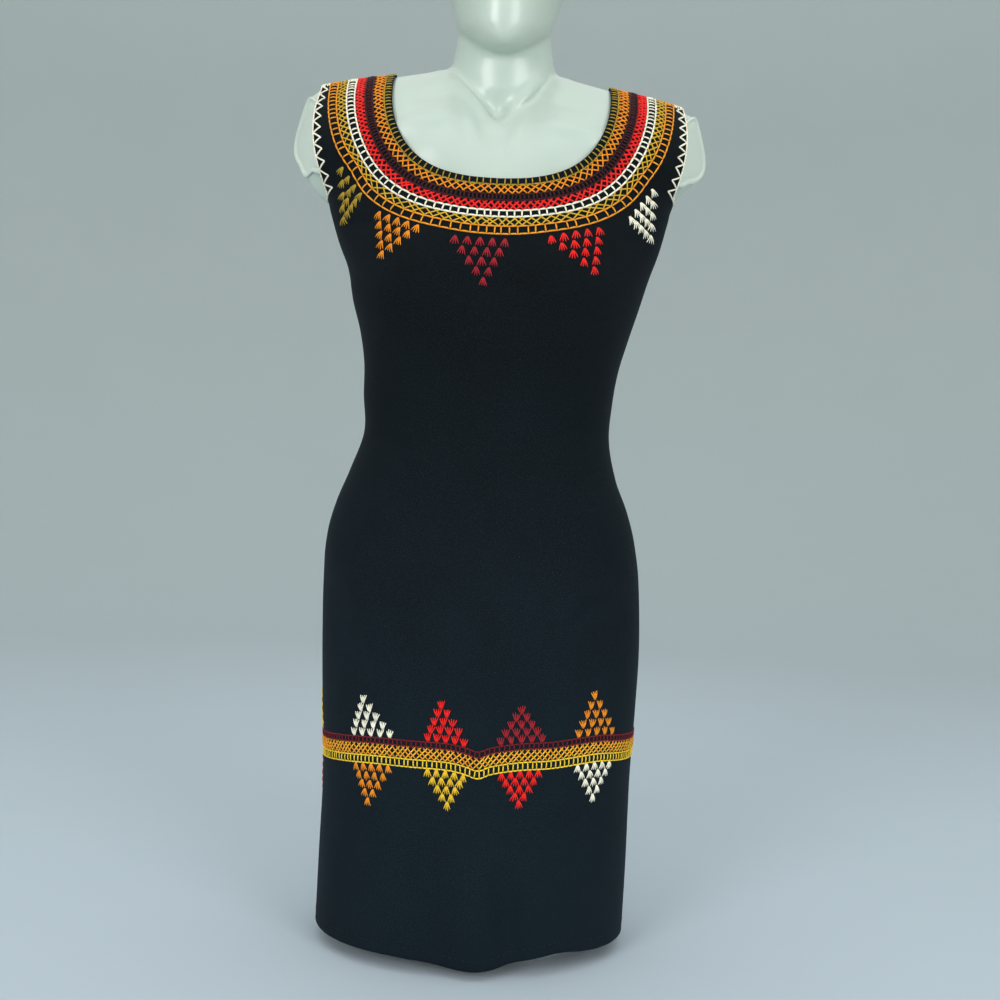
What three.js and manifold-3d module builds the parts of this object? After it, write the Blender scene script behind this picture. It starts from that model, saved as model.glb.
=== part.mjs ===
// A sleeveless sheath dress worn by a limbless display form on a pole and an oval plate.
// Millimetres, +Z up. The front faces -Y and the wearer's left side is +X. The origin is on the
// floor, on the plate's flat underside. The dress is two walls of cloth, front and back, that meet
// at the side seams and along the shoulders, 0.3 apart. The form is one smooth solid inside them.

import * as THREE from 'three';
import { mergeVertices } from 'three/addons/utils/BufferGeometryUtils.js';
import Module from 'manifold-3d';

// ---- driving dimensions ----------------------------------------------------------------------

const CLOTH = 1.6;            // thickness of the cloth wall
const SEAM_GAP = 0.3;         // space between two pieces that meet
const AXIS_X = 2.5;           // centre line of the shoulders, neck and head
const RIDGE_Y = 6;            // shoulder seam line, measured back from the side seams
const SHOULDER_TILT = 0.025;  // the wearer's right shoulder sits a little higher

// The chest rounds back to the shoulder ridge over this height, most sharply near the ridge.
const ROUNDING = { height: 135, power: 0.625 };

const UNDERARM = { z: 769, tilt: 0.02, half: 184, turnIn: 6 };
const ARMHOLE = { bottom: 177.5, top: 193.5, height: 90, power: 2.3, tip: 191.5, toTip: 30 };
const NECK = { half: 113.5, top: 903.5, power: 2.8 };
const HEM = { z: 16, dip: 6, dipAt: 5, dipWidth: 40, rise: 6, riseAt: 85, riseWidth: 36 };

// The dress from hem to shoulder: half width, centre, depth in front of and behind the side
// seams, and how square the front and the back half of each section are (2 is an ellipse).
const SECTIONS = [
  { z: 10, half: 161, mid: 0, front: 122, back: 122, squareFront: 2.15, squareBack: 2.15 },
  { z: 87, half: 161.5, mid: 1.5, front: 121, back: 122, squareFront: 2.15, squareBack: 2.15 },
  { z: 182, half: 161, mid: 3, front: 119, back: 123, squareFront: 2.2, squareBack: 2.2 },
  { z: 246, half: 164.5, mid: 2.5, front: 118, back: 124, squareFront: 2.2, squareBack: 2.2 },
  { z: 310, half: 167, mid: 2, front: 116, back: 125, squareFront: 2.25, squareBack: 2.2 },
  { z: 373, half: 166.5, mid: 0, front: 113, back: 124, squareFront: 2.3, squareBack: 2.2 },
  { z: 421, half: 161, mid: -2, front: 109, back: 119, squareFront: 2.35, squareBack: 2.2 },
  { z: 453, half: 152, mid: -2.5, front: 106, back: 112, squareFront: 2.4, squareBack: 2.2 },
  { z: 484, half: 139.5, mid: -2.5, front: 102, back: 105, squareFront: 2.5, squareBack: 2.2 },
  { z: 525, half: 128.5, mid: 0, front: 98, back: 97, squareFront: 2.6, squareBack: 2.2 },
  { z: 564, half: 130.5, mid: 0, front: 98, back: 93, squareFront: 2.7, squareBack: 2.2 },
  { z: 596, half: 133, mid: 2, front: 100, back: 93, squareFront: 2.8, squareBack: 2.2 },
  { z: 629, half: 140, mid: 4, front: 103, back: 95, squareFront: 2.8, squareBack: 2.2 },
  { z: 660, half: 149, mid: 4.5, front: 104, back: 99, squareFront: 2.8, squareBack: 2.2 },
  { z: 692, half: 157, mid: 6, front: 104, back: 102, squareFront: 2.7, squareBack: 2.2 },
  { z: 724, half: 169, mid: 5, front: 102, back: 105, squareFront: 2.5, squareBack: 2.2 },
  { z: 755, half: 178, mid: 4, front: 97, back: 108, squareFront: 2.4, squareBack: 2.2 },
  { z: 775, half: 184, mid: 3.5, front: 93, back: 108, squareFront: 2.3, squareBack: 2.2 },
  { z: 791, half: 199, mid: 3, front: 92, back: 107, squareFront: 2.2, squareBack: 2.2 },
  { z: 810, half: 217, mid: 2.5, front: 92, back: 106, squareFront: 2.2, squareBack: 2.2 },
  { z: 834, half: 226, mid: 2.5, front: 91, back: 104, squareFront: 2.2, squareBack: 2.2 },
  { z: 860, half: 218, mid: 2.5, front: 90, back: 102, squareFront: 2.2, squareBack: 2.2 },
  { z: 882, half: 202, mid: 2.5, front: 90, back: 100, squareFront: 2.2, squareBack: 2.2 },
];

// Height of the shoulder ridge by distance from the centre line. In front it dips at the throat.
const RIDGE = [
  { x: 0, front: 880, back: 921 },
  { x: 30, front: 893, back: 919 },
  { x: 56, front: 914, back: 916 },
  { x: 80, front: 910, back: 910 },
  { x: 113, front: 903.5, back: 903.5 },
  { x: 150, front: 897, back: 897 },
  { x: 175, front: 892, back: 892 },
  { x: 194, front: 887, back: 887 },
  { x: 204, front: 881, back: 881 },
];

const BUST = { x: 76, z: 672, rise: 24, wide: 58, above: 62, below: 88 };

// A fold fades out at its ends as a power of a half wave, and near the seams, where the section is
// less deep than this share of its middle.
const FOLD = { fade: 1.2, seamShare: 0.3 };

// Folds: a line on one side from (x0, z0) to (x1, z1). A negative depth is a trough.
const FOLDS = [
  { side: -1, x0: -1, z0: 165, x1: 14, z1: -40, width: 30, depth: 15 },
  { side: -1, x0: 25, z0: 115, x1: 49, z1: -15, width: 15, depth: -7 },
  { side: -1, x0: 58, z0: 125, x1: 72, z1: -30, width: 20, depth: 5 },
  { side: -1, x0: -137, z0: 140, x1: -88, z1: 30, width: 17, depth: -5 },
  { side: -1, x0: 160, z0: 390, x1: 104, z1: 258, width: 21, depth: -6 },
  { side: -1, x0: -163, z0: 400, x1: -120, z1: 275, width: 18, depth: -5 },
  { side: -1, x0: -90, z0: 585, x1: -80, z1: 415, width: 17, depth: -4 },
  { side: 1, x0: -52, z0: 330, x1: -78, z1: -60, width: 26, depth: -7 },
  { side: 1, x0: 34, z0: 250, x1: 52, z1: -60, width: 22, depth: -6 },
  { side: 1, x0: -10, z0: 210, x1: -14, z1: -60, width: 30, depth: 8 },
  { side: 1, x0: 120, z0: 300, x1: 98, z1: -20, width: 20, depth: -5 },
  { side: 1, x0: -78, z0: 500, x1: 74, z1: 512, width: 17, depth: -5 },
];

// How a wall's grid is spread: the height share where its columns begin to drift to their places
// along the top, the angle that spaces them along the neck edge, and the powers that bunch the
// rows of the armhole, the strap's foot and the strap.
const GRID = { driftFrom: 0.6, neckAngle: 1.15, armhole: 1.4, foot: 1.5, strap: 1.6, sag: 3 };

// Rows and columns of the two cloth walls. The front has a low neck, so its straps are long.
const FRONT = {
  side: -1, name: 'front_panel', neckDepth: 128.5, columns: 28, strapColumns: 8,
  rowsBelow: 30, rowsBeside: 1, strapRows: 10, besideTop: 784, corner: 86, crossSag: 16,
};
const BACK = {
  side: 1, name: 'back_panel', neckDepth: 52, columns: 26, strapColumns: 7,
  rowsBelow: 29, rowsBeside: 7, strapRows: 4, besideTop: 852, corner: 92, crossSag: 0,
};

// The form stays inside the cloth by this much beyond the cloth's own thickness.
const FORM_INSET = [
  { z: 280, gap: 11 },
  { z: 400, gap: 9 },
  { z: 525, gap: 7 },
  { z: 640, gap: 6.2 },
  { z: 690, gap: 6.2 },
  { z: 745, gap: 6 },
  { z: 778, gap: 8.2 },
  { z: 815, gap: 4.3 },
  { z: 860, gap: 1.6 },
  { z: 905, gap: 0.9 },
];
// Its rings narrow as if offset along the height by `rise`, from riseFrom up, and stay `lift`
// below the cloth on the shoulders. `leastDepth` keeps thin places from vanishing.
const TORSO = {
  bottom: 285, edge: 8, start: 765, rise: 9, riseFrom: 729, lift: 0.9, leastDepth: 60,
  halfColumns: 24, rows: 17, shoulderRows: 9, closing: 0.35, bunching: 1.5, passes: 12,
};
// Outside the armholes the arm stumps run on: beyond `from` they are drawn out, most at their
// middle height, and their undersides sink by `sink`. The rise eases to this one from low to high.
const STUMP = { from: 193, sink: 0.45, rise: 2, low: 772, high: 797 };
const STUMP_SPREAD = [
  { z: 797, spread: 1.6 },
  { z: 826, spread: 2.7 },
  { z: 842, spread: 2.7 },
  { z: 885, spread: 1.4 },
];
// Under each stump a rounded bulge fills the lower end of the armhole: its middle and half sizes.
const STUMP_BULGE = [
  { x: -180.5, y: 4, z: 801, halfX: 20, halfY: 27, halfZ: 29 },
  { x: 183.5, y: 4, z: 809, halfX: 26, halfY: 27, halfZ: 29 },
];
const BULGE_SIDES = 20;

// Neck and head, by height: half width, and how far they reach in front (-) and behind (+).
const NECK_SECTIONS = [
  { z: 835, half: 48, front: -38, back: 60 },
  { z: 880, half: 55, front: -45, back: 68 },
  { z: 905, half: 58, front: -48, back: 66 },
  { z: 925, half: 53, front: -50, back: 61 },
  { z: 961, half: 48, front: -52, back: 58 },
  { z: 995, half: 48, front: -50, back: 60 },
];
const HEAD_SECTIONS = [
  { z: 920, half: 6, front: -76, back: -60 },
  { z: 924, half: 22, front: -86, back: -40 },
  { z: 933, half: 37, front: -92, back: -8 },
  { z: 945, half: 47, front: -95, back: 42 },
  { z: 968, half: 54, front: -97, back: 70 },
  { z: 1000, half: 64, front: -98, back: 86 },
  { z: 1040, half: 74, front: -97, back: 94 },
  { z: 1075, half: 74, front: -88, back: 92 },
  { z: 1103, half: 61, front: -68, back: 76 },
  { z: 1121, half: 39, front: -42, back: 52 },
  { z: 1128, half: 8, front: -6, back: 16 },
];
const NECK_SIDES = 24;

// The flat covers of the arm stumps: a plane turned towards the front, through a point in it.
const CAP = { x: 209, y: 12, z: 834, turn: 33, thickness: 2.4, block: 200 };

const PLATE = { halfX: 130, halfY: 95, y: 14, thickness: 8, sides: 48 };
const POLE = { radius: 12.5, y: 12, sides: 24 };
const POLE_FOOT = { radius: 30, height: 10 };
const POLE_SOCKET = { radius: 32, height: 12 };

// ---- shape functions -------------------------------------------------------------------------

const clamp = THREE.MathUtils.clamp;
const lerp = THREE.MathUtils.lerp;

/** A smooth curve through the rows of a table, read at one height (or distance). */
function along(rows, name, at, key = 'z') {
  const last = rows.length - 1;
  if (at <= rows[0][key]) return rows[0][name];
  if (at >= rows[last][key]) return rows[last][name];
  let i = 0;
  while (at > rows[i + 1][key]) i += 1;
  const slope = (k) => {
    const a = rows[Math.max(k - 1, 0)];
    const b = rows[Math.min(k + 1, last)];
    return (b[name] - a[name]) / (b[key] - a[key]);
  };
  const step = rows[i + 1][key] - rows[i][key];
  const t = (at - rows[i][key]) / step;
  const rise = rows[i + 1][name] - rows[i][name];
  const start = slope(i) * step - rise;
  const end = rise - slope(i + 1) * step;
  return rows[i][name] + rise * t + t * (1 - t) * (start * (1 - t) + end * t);
}

/** Height of the shoulder seam above a point of the front view. */
function ridge(x, side) {
  const level = along(RIDGE, side < 0 ? 'front' : 'back', Math.abs(x - AXIS_X), 'x');
  return level - SHOULDER_TILT * (x - AXIS_X);
}

/** How far a section reaches at one place across it: 1 at its middle, 0 at the side seam. */
function crossing(x, z, side) {
  const square = along(SECTIONS, side < 0 ? 'squareFront' : 'squareBack', z);
  const across = clamp(Math.abs(x - along(SECTIONS, 'mid', z)) / along(SECTIONS, 'half', z), 0, 1);
  return (1 - across ** square) ** (1 / square);
}

/** The two rounded fronts of the bust, with the cloth bridging softly between them. */
function bust(x, z) {
  const tall = z > BUST.z ? BUST.above : BUST.below;
  const height = Math.exp(-(((z - BUST.z) / tall) ** 2));
  const left = Math.exp(-(((x - AXIS_X + BUST.x) / BUST.wide) ** 2));
  const right = Math.exp(-(((x - AXIS_X - BUST.x) / BUST.wide) ** 2));
  return BUST.rise * height * (left + right);
}

/** Depth of the smooth garment surface at (x, z) of the front view. */
function skin(side, x, z) {
  const depth = along(SECTIONS, side < 0 ? 'front' : 'back', z);
  const swell = side < 0 ? bust(x, z) : 0;
  const drop = clamp((ridge(x, side) - z) / ROUNDING.height, 0, 1);
  const rounding = (1 - (1 - drop) ** 2) ** ROUNDING.power;
  return RIDGE_Y * (1 - rounding) + side * (depth + swell) * crossing(x, z, side) * rounding;
}

/** Outward push of the folds of one side at (x, z). Each fold fades out at its ends. */
function foldPush(side, x, z) {
  let push = 0;
  for (const fold of FOLDS.filter((row) => row.side === side)) {
    const dx = fold.x1 - fold.x0;
    const dz = fold.z1 - fold.z0;
    const length = Math.hypot(dx, dz);
    const t = ((x - fold.x0) * dx + (z - fold.z0) * dz) / length ** 2;
    const off = ((x - fold.x0) * dz - (z - fold.z0) * dx) / length;
    const fade = Math.sin(Math.PI * clamp(t, 0, 1)) ** FOLD.fade;
    push += fold.depth * fade * Math.exp(-((off / fold.width) ** 2));
  }
  return push;
}

/** A point of the cloth's outer face, with its folds, for a place in the front view. */
function clothPoint(side, x, z) {
  const mid = along(SECTIONS, 'mid', z);
  const half = along(SECTIONS, 'half', z);
  const depth = along(SECTIONS, side < 0 ? 'front' : 'back', z);
  const y = skin(side, x, z);
  const outX = (x - mid) / half ** 2;
  const outY = (side * Math.abs(y)) / depth ** 2;
  const push = foldPush(side, x, z) * Math.min(1, Math.abs(y) / (FOLD.seamShare * depth));
  const unit = push / Math.max(Math.hypot(outX, outY), 1e-6);
  return new THREE.Vector3(x + outX * unit, y + outY * unit + side * SEAM_GAP / 2, z);
}

/** Half width of the neck opening at a height, for a neck of the given depth. */
function neckHalf(z, neckDepth) {
  const drop = clamp((NECK.top - z) / neckDepth, 0, 1);
  return NECK.half * (1 - drop ** NECK.power) ** (1 / NECK.power);
}

/** Height of the neck edge at a distance from the centre line. */
function neckHeight(x, neckDepth) {
  const across = clamp(Math.abs(x - AXIS_X) / NECK.half, 0, 1);
  return NECK.top - neckDepth * (1 - across ** NECK.power) ** (1 / NECK.power);
}

/** Distance of the armhole edge from the centre line at a height. */
function armholeHalf(z) {
  const rise = clamp((z - UNDERARM.z) / ARMHOLE.height, 0, 1);
  const wide = lerp(ARMHOLE.bottom, ARMHOLE.top, 1 - (1 - rise) ** ARMHOLE.power);
  const toTip = clamp((z - UNDERARM.z - ARMHOLE.height) / ARMHOLE.toTip, 0, 1);
  return lerp(wide, ARMHOLE.tip, toTip);
}

/** Height of the hem: it dips at the centre fold and lifts beside it in front. */
function hemHeight(side, x) {
  const dip = HEM.dip * Math.exp(-(((x - HEM.dipAt) / HEM.dipWidth) ** 2));
  const rise = HEM.rise * Math.exp(-(((x - HEM.riseAt) / HEM.riseWidth) ** 2));
  return side < 0 ? HEM.z - dip + rise : HEM.z;
}

// ---- cloth walls -----------------------------------------------------------------------------

/** Front-view place of a grid point below the straps: column angle from seam to seam. */
function bodicePlace(cut, row, column) {
  const { side, columns, strapColumns, rowsBelow, rowsBeside, neckDepth } = cut;
  const turn = Math.sin(lerp(-Math.PI / 2, Math.PI / 2, column / columns));
  const hand = Math.sign(turn);
  const edge = column === 0 || column === columns;
  const under = UNDERARM.z + UNDERARM.tilt * hand * UNDERARM.half;
  const level = under - cut.crossSag * (1 - Math.abs(turn) ** GRID.sag);

  // The top row runs from the armhole to the corner of the strap and along the neck edge.
  const fromSide = Math.min(column, columns - column);
  const inStrap = fromSide <= strapColumns;
  const besideHalf = armholeHalf(cut.besideTop);
  let topX;
  let topZ;
  if (inStrap) {
    const t = fromSide / strapColumns;
    topX = AXIS_X + hand * lerp(besideHalf, cut.corner, t);
    topZ = lerp(cut.besideTop, neckHeight(AXIS_X + cut.corner, neckDepth), t ** GRID.foot);
  } else {
    const t = (column - strapColumns) / (columns - 2 * strapColumns);
    topX = AXIS_X + cut.corner * Math.sin(lerp(-1, 1, t) * GRID.neckAngle) / Math.sin(GRID.neckAngle);
    topZ = neckHeight(topX, neckDepth);
  }

  // Lower down the columns fan out evenly from seam to seam, and they drift to those places.
  const topTurn = (topX - AXIS_X) / besideHalf;
  const meet = rowsBelow / (rowsBelow + rowsBeside);
  if (row <= rowsBelow) {
    const t = row / rowsBelow;
    const flatX = along(SECTIONS, 'half', HEM.z) * turn;
    const z = lerp(hemHeight(side, flatX), level, t);
    const drift = THREE.MathUtils.smoothstep(t, GRID.driftFrom, 1) * meet;
    const x = along(SECTIONS, 'mid', z) + along(SECTIONS, 'half', z) * lerp(turn, topTurn, drift);
    return [x, z];
  }
  // Above the underarm each row ends at the armhole edge, just inside the side seam.
  const t = (row - rowsBelow) / rowsBeside;
  const edgeZ = lerp(under, cut.besideTop, t ** GRID.armhole);
  const turnIn = clamp((edgeZ - under) / UNDERARM.turnIn, 0, 1);
  const middle = lerp(along(SECTIONS, 'mid', under), AXIS_X, turnIn);
  const reach = lerp(along(SECTIONS, 'half', under), armholeHalf(edgeZ), turnIn);
  return [middle + reach * lerp(turn, topTurn, lerp(meet, 1, t)), edge ? edgeZ : lerp(level, topZ, t)];
}

/** Front-view place of a grid point in a strap: a patch spanned by its four edges. */
function strapPlace(cut, hand, u, v) {
  const cornerZ = neckHeight(AXIS_X + cut.corner, cut.neckDepth);
  const tipX = AXIS_X + hand * ARMHOLE.tip;
  const neckX = AXIS_X + hand * NECK.half;
  const outerZ = lerp(cut.besideTop, ridge(tipX, 1), v);
  const outer = [AXIS_X + hand * armholeHalf(outerZ), outerZ];
  const innerZ = lerp(cornerZ, ridge(neckX, 1), v);
  const inner = [AXIS_X + hand * neckHalf(innerZ, cut.neckDepth), innerZ];
  if (v === 1) {
    const x = lerp(tipX, neckX, u);
    return [x, ridge(x, 1)];
  }
  const lowX = AXIS_X + hand * lerp(armholeHalf(cut.besideTop), cut.corner, u);
  const low = [lowX, lerp(cut.besideTop, cornerZ, u ** GRID.foot)];
  const highX = lerp(tipX, neckX, u);
  const high = [highX, ridge(highX, 1)];
  const flat = (k) => {
    const sides = lerp(outer[k], inner[k], u);
    const ends = lerp(low[k], high[k], v);
    const startLow = k === 0 ? AXIS_X + hand * armholeHalf(cut.besideTop) : cut.besideTop;
    const endLow = k === 0 ? AXIS_X + hand * cut.corner : cornerZ;
    const startHigh = k === 0 ? tipX : ridge(tipX, 1);
    const endHigh = k === 0 ? neckX : ridge(neckX, 1);
    return sides + ends - lerp(lerp(startLow, endLow, u), lerp(startHigh, endHigh, u), v);
  };
  return [flat(0), flat(1)];
}

/** Outer face of a panel: points, triangles, and which points lie on a straight seam. */
function panelSurface(cut) {
  const { side, columns, strapColumns, strapRows } = cut;
  const rows = cut.rowsBelow + cut.rowsBeside;
  const points = [];
  const seams = new Set();
  const triangles = [];
  const quad = (a, b, c, d) => {
    if (side < 0) triangles.push([a, b, c], [a, c, d]);
    else triangles.push([a, c, b], [a, d, c]);
  };

  for (let row = 0; row <= rows; row += 1) {
    for (let column = 0; column <= columns; column += 1) {
      const [x, z] = bodicePlace(cut, row, column);
      if ((column === 0 || column === columns) && row <= cut.rowsBelow) seams.add(points.length);
      points.push(clothPoint(side, x, z));
    }
  }
  const body = (row, column) => row * (columns + 1) + column;
  for (let row = 0; row < rows; row += 1) {
    for (let column = 0; column < columns; column += 1) {
      quad(body(row, column), body(row, column + 1), body(row + 1, column + 1), body(row + 1, column));
    }
  }

  for (const hand of [-1, 1]) {
    const start = points.length;
    for (let row = 1; row <= strapRows; row += 1) {
      const v = 1 - (1 - row / strapRows) ** GRID.strap;
      for (let column = 0; column <= strapColumns; column += 1) {
        const [x, z] = strapPlace(cut, hand, column / strapColumns, v);
        if (row === strapRows) seams.add(points.length);
        points.push(clothPoint(side, x, z));
      }
    }
    const strap = (row, column) => {
      if (row === 0) return body(rows, hand < 0 ? column : columns - column);
      return start + (row - 1) * (strapColumns + 1) + column;
    };
    for (let row = 0; row < strapRows; row += 1) {
      for (let column = 0; column < strapColumns; column += 1) {
        const corners = [strap(row, column), strap(row, column + 1),
          strap(row + 1, column + 1), strap(row + 1, column)];
        if (hand > 0) corners.reverse();
        quad(...corners);
      }
    }
  }
  return { points, triangles, seams };
}

/** Gives a surface its thickness inwards and closes it along its edges. */
function thicken({ points, triangles, seams }, thickness) {
  const normals = points.map(() => new THREE.Vector3());
  const edgeA = new THREE.Vector3();
  const edgeB = new THREE.Vector3();
  for (const [a, b, c] of triangles) {
    edgeA.subVectors(points[b], points[a]);
    edgeB.subVectors(points[c], points[a]).cross(edgeA).negate();
    for (const corner of [a, b, c]) normals[corner].add(edgeB);
  }
  for (const seam of seams) normals[seam].y = 0;
  const inner = points.map((point, i) => point.clone().addScaledVector(normals[i].normalize(), -thickness));

  const count = points.length;
  const faces = triangles.flatMap(([a, b, c]) => [a, b, c, count + a, count + c, count + b]);
  const used = new Map();
  for (const [a, b, c] of triangles) {
    for (const [from, to] of [[a, b], [b, c], [c, a]]) used.set(`${from},${to}`, [from, to]);
  }
  for (const [from, to] of used.values()) {
    if (!used.has(`${to},${from}`)) faces.push(from, count + from, to, to, count + from, count + to);
  }
  return closedGeometry([...points, ...inner], faces);
}

function closedGeometry(points, faces) {
  const geometry = new THREE.BufferGeometry().setFromPoints(points);
  geometry.setIndex(faces);
  geometry.computeVertexNormals();
  return geometry;
}

// ---- form ------------------------------------------------------------------------------------

/** A closed solid from a stack of rings of points, closed at both ends by a fan. */
function stack(rings) {
  const points = rings.flat();
  const around = rings[0].length;
  const faces = [];
  for (let row = 0; row < rings.length - 1; row += 1) {
    for (let i = 0; i < around; i += 1) {
      const a = row * around + i;
      const b = row * around + ((i + 1) % around);
      faces.push(a, b, b + around, a, b + around, a + around);
    }
  }
  const centre = (ring) => ring.reduce((sum, p) => sum.add(p), new THREE.Vector3())
    .divideScalar(ring.length);
  const low = points.length;
  points.push(centre(rings[0]), centre(rings[rings.length - 1]));
  const high = (rings.length - 1) * around;
  for (let i = 0; i < around; i += 1) {
    const next = (i + 1) % around;
    faces.push(low, next, i, low + 1, high + i, high + next);
  }
  return closedGeometry(points, faces);
}

/** Neck or head: an oval ring at each row of its table. */
function ovalStack(rows) {
  return stack(rows.map(({ z, half, front, back }) => {
    const ring = [];
    for (let i = 0; i < NECK_SIDES; i += 1) {
      const angle = (2 * Math.PI * i) / NECK_SIDES;
      const y = (front + back) / 2 + ((back - front) / 2) * Math.sin(angle);
      ring.push(new THREE.Vector3(AXIS_X + half * Math.cos(angle), y, z));
    }
    return ring;
  }));
}

/** Torso and arm stumps: the garment's own surface, smooth, drawn in by the form's inset. */
function torso() {
  const { bottom, edge, start, halfColumns, rows, shoulderRows } = TORSO;
  const lift = CLOTH + TORSO.lift;
  const rings = [];
  const place = (side, turn, z, shrink) => {
    const inset = CLOTH + along(FORM_INSET, 'gap', z) + shrink;
    const ease = THREE.MathUtils.smoothstep(z, STUMP.low, STUMP.high);
    const narrow = z > TORSO.riseFrom ? lerp(TORSO.rise, STUMP.rise, ease) : 0;
    const half = Math.min(along(SECTIONS, 'half', z - narrow), along(SECTIONS, 'half', z + narrow));
    const mid = along(SECTIONS, 'mid', z);
    const y = skin(side, mid + half * turn, z + Math.min(inset, lift));
    const depth = Math.abs(skin(side, mid, z));
    const reach = (half - inset) * Math.abs(turn);
    const past = Math.max(0, reach - STUMP.from) * along(STUMP_SPREAD, 'spread', z);
    const x = mid + (Math.min(reach, STUMP.from) + past) * Math.sign(turn);
    const sink = past * STUMP.sink * (1 - THREE.MathUtils.smoothstep(z, STUMP.low, CAP.z));
    return new THREE.Vector3(x, y * (1 - inset / Math.max(depth, TORSO.leastDepth)), z - sink);
  };
  const ringAt = (heightOf, shrink) => {
    const ring = [];
    for (let i = 0; i < 2 * halfColumns; i += 1) {
      const side = i < halfColumns ? -1 : 1;
      const turn = side * Math.cos((Math.PI * (i % halfColumns)) / halfColumns);
      ring.push(place(side, turn, heightOf(turn, side), shrink));
    }
    return ring;
  };
  for (let row = 0; row <= rows; row += 1) {
    const z = lerp(bottom, start, Math.max(0, row - 1) / (rows - 1));
    rings.push(ringAt(() => (row === 0 ? bottom : Math.max(z, bottom + edge)), row === 0 ? edge : 0));
  }
  // Above the underarm the rings rise towards the shoulder ridge, until both halves meet there.
  for (let row = 1; row <= shoulderRows; row += 1) {
    const t = 1 - (1 - row / (shoulderRows + TORSO.closing)) ** TORSO.bunching;
    const heightOf = (turn, side) => {
      let z = start;
      for (let pass = 0; pass < TORSO.passes; pass += 1) {
        const x = along(SECTIONS, 'mid', z) + (along(SECTIONS, 'half', z) - lift) * turn;
        z = lerp(start, ridge(x, side) - lift, t);
      }
      return z;
    };
    rings.push(ringAt(heightOf, 0));
  }
  return stack(rings);
}

/** The rounded bulge under a stump. */
function bulge({ x, y, z, halfX, halfY, halfZ }) {
  const ball = new THREE.SphereGeometry(1, BULGE_SIDES, BULGE_SIDES / 2);
  return ball.scale(halfX, halfY, halfZ).translate(x, y, z);
}

/** A block on the far side of a stump's cover plane, used to cut there. */
function beyondPlane(hand, from, to) {
  const turn = THREE.MathUtils.degToRad(CAP.turn);
  const block = new THREE.BoxGeometry(to - from, CAP.block, CAP.block);
  block.translate((from + to) / 2, 0, 0);
  block.rotateZ(hand > 0 ? -turn : Math.PI + turn);
  block.translate(AXIS_X + hand * CAP.x, CAP.y, CAP.z);
  return block;
}

const wasm = await Module();
wasm.setup();

function toSolid(geometry) {
  const bare = new THREE.BufferGeometry();
  bare.setAttribute('position', geometry.getAttribute('position'));
  if (geometry.index) bare.setIndex(geometry.index);
  const merged = mergeVertices(bare, 1e-4);
  return new wasm.Manifold(new wasm.Mesh({
    numProp: 3,
    vertProperties: new Float32Array(merged.getAttribute('position').array),
    triVerts: new Uint32Array(merged.index.array),
  }));
}

function fromSolid(solid) {
  const mesh = solid.getMesh();
  const geometry = new THREE.BufferGeometry();
  geometry.setAttribute('position', new THREE.BufferAttribute(new Float32Array(mesh.vertProperties), 3));
  geometry.setIndex(new THREE.BufferAttribute(new Uint32Array(mesh.triVerts), 1));
  geometry.computeVertexNormals();
  return geometry;
}

// ---- pieces ----------------------------------------------------------------------------------

const cloth = new THREE.MeshStandardMaterial({ color: 0x15181f, roughness: 0.85, metalness: 0 });
const gloss = new THREE.MeshStandardMaterial({ color: 0xd5e0da, roughness: 0.25, metalness: 0 });
const steel = new THREE.MeshStandardMaterial({ color: 0xb9bcbd, roughness: 0.3, metalness: 1 });
const enamel = new THREE.MeshStandardMaterial({ color: 0xe6e8e4, roughness: 0.45, metalness: 0 });

const dress = new THREE.Group();

function add(name, geometry, material) {
  const mesh = new THREE.Mesh(geometry, material);
  mesh.name = name;
  dress.add(mesh);
  return mesh;
}

for (const cut of [FRONT, BACK]) add(cut.name, thicken(panelSurface(cut), CLOTH), cloth);

const torsoSolid = STUMP_BULGE.reduce((solid, row) => solid.add(toSolid(bulge(row))), toSolid(torso()));
let formSolid = torsoSolid.add(toSolid(ovalStack(NECK_SECTIONS))).add(toSolid(ovalStack(HEAD_SECTIONS)));
for (const [name, hand] of [['form_cap_right', -1], ['form_cap_left', 1]]) {
  formSolid = formSolid.subtract(toSolid(beyondPlane(hand, 0, CAP.block / 2)));
  const slab = toSolid(beyondPlane(hand, SEAM_GAP, SEAM_GAP + CAP.thickness));
  add(name, fromSolid(torsoSolid.intersect(slab)), gloss);
}
add('form_body', fromSolid(formSolid), gloss);

/** An upright round piece on the pole's line, from one height to another. */
function upright(name, radius, from, to, material) {
  const geometry = new THREE.CylinderGeometry(radius, radius, to - from, POLE.sides);
  const mesh = add(name, geometry.rotateX(Math.PI / 2), material);
  mesh.position.set(0, POLE.y, (from + to) / 2);
}

const plate = new THREE.CylinderGeometry(1, 1, PLATE.thickness, PLATE.sides).rotateX(Math.PI / 2);
plate.scale(PLATE.halfX, PLATE.halfY, 1);
add('stand_base', plate, enamel).position.set(0, PLATE.y, PLATE.thickness / 2);

const footFrom = PLATE.thickness + SEAM_GAP;
const footTo = footFrom + POLE_FOOT.height;
const socketTo = TORSO.bottom - SEAM_GAP;
const socketFrom = socketTo - POLE_SOCKET.height;
upright('stand_foot', POLE_FOOT.radius, footFrom, footTo, steel);
upright('stand_pole', POLE.radius, footTo + SEAM_GAP, socketFrom - SEAM_GAP, steel);
upright('stand_socket', POLE_SOCKET.radius, socketFrom, socketTo, steel);

export default dress;
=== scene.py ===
"""An embroidered sheath dress on a limbless display form, laid out as an add-on and run as a script.

The tables and lengths below are in millimetres, the way a dressmaker writes them, and every mesh is
made in metres. +Z is up, the front of the dress faces -Y and +X is the wearer's left.
"""

import math
from functools import partial

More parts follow.
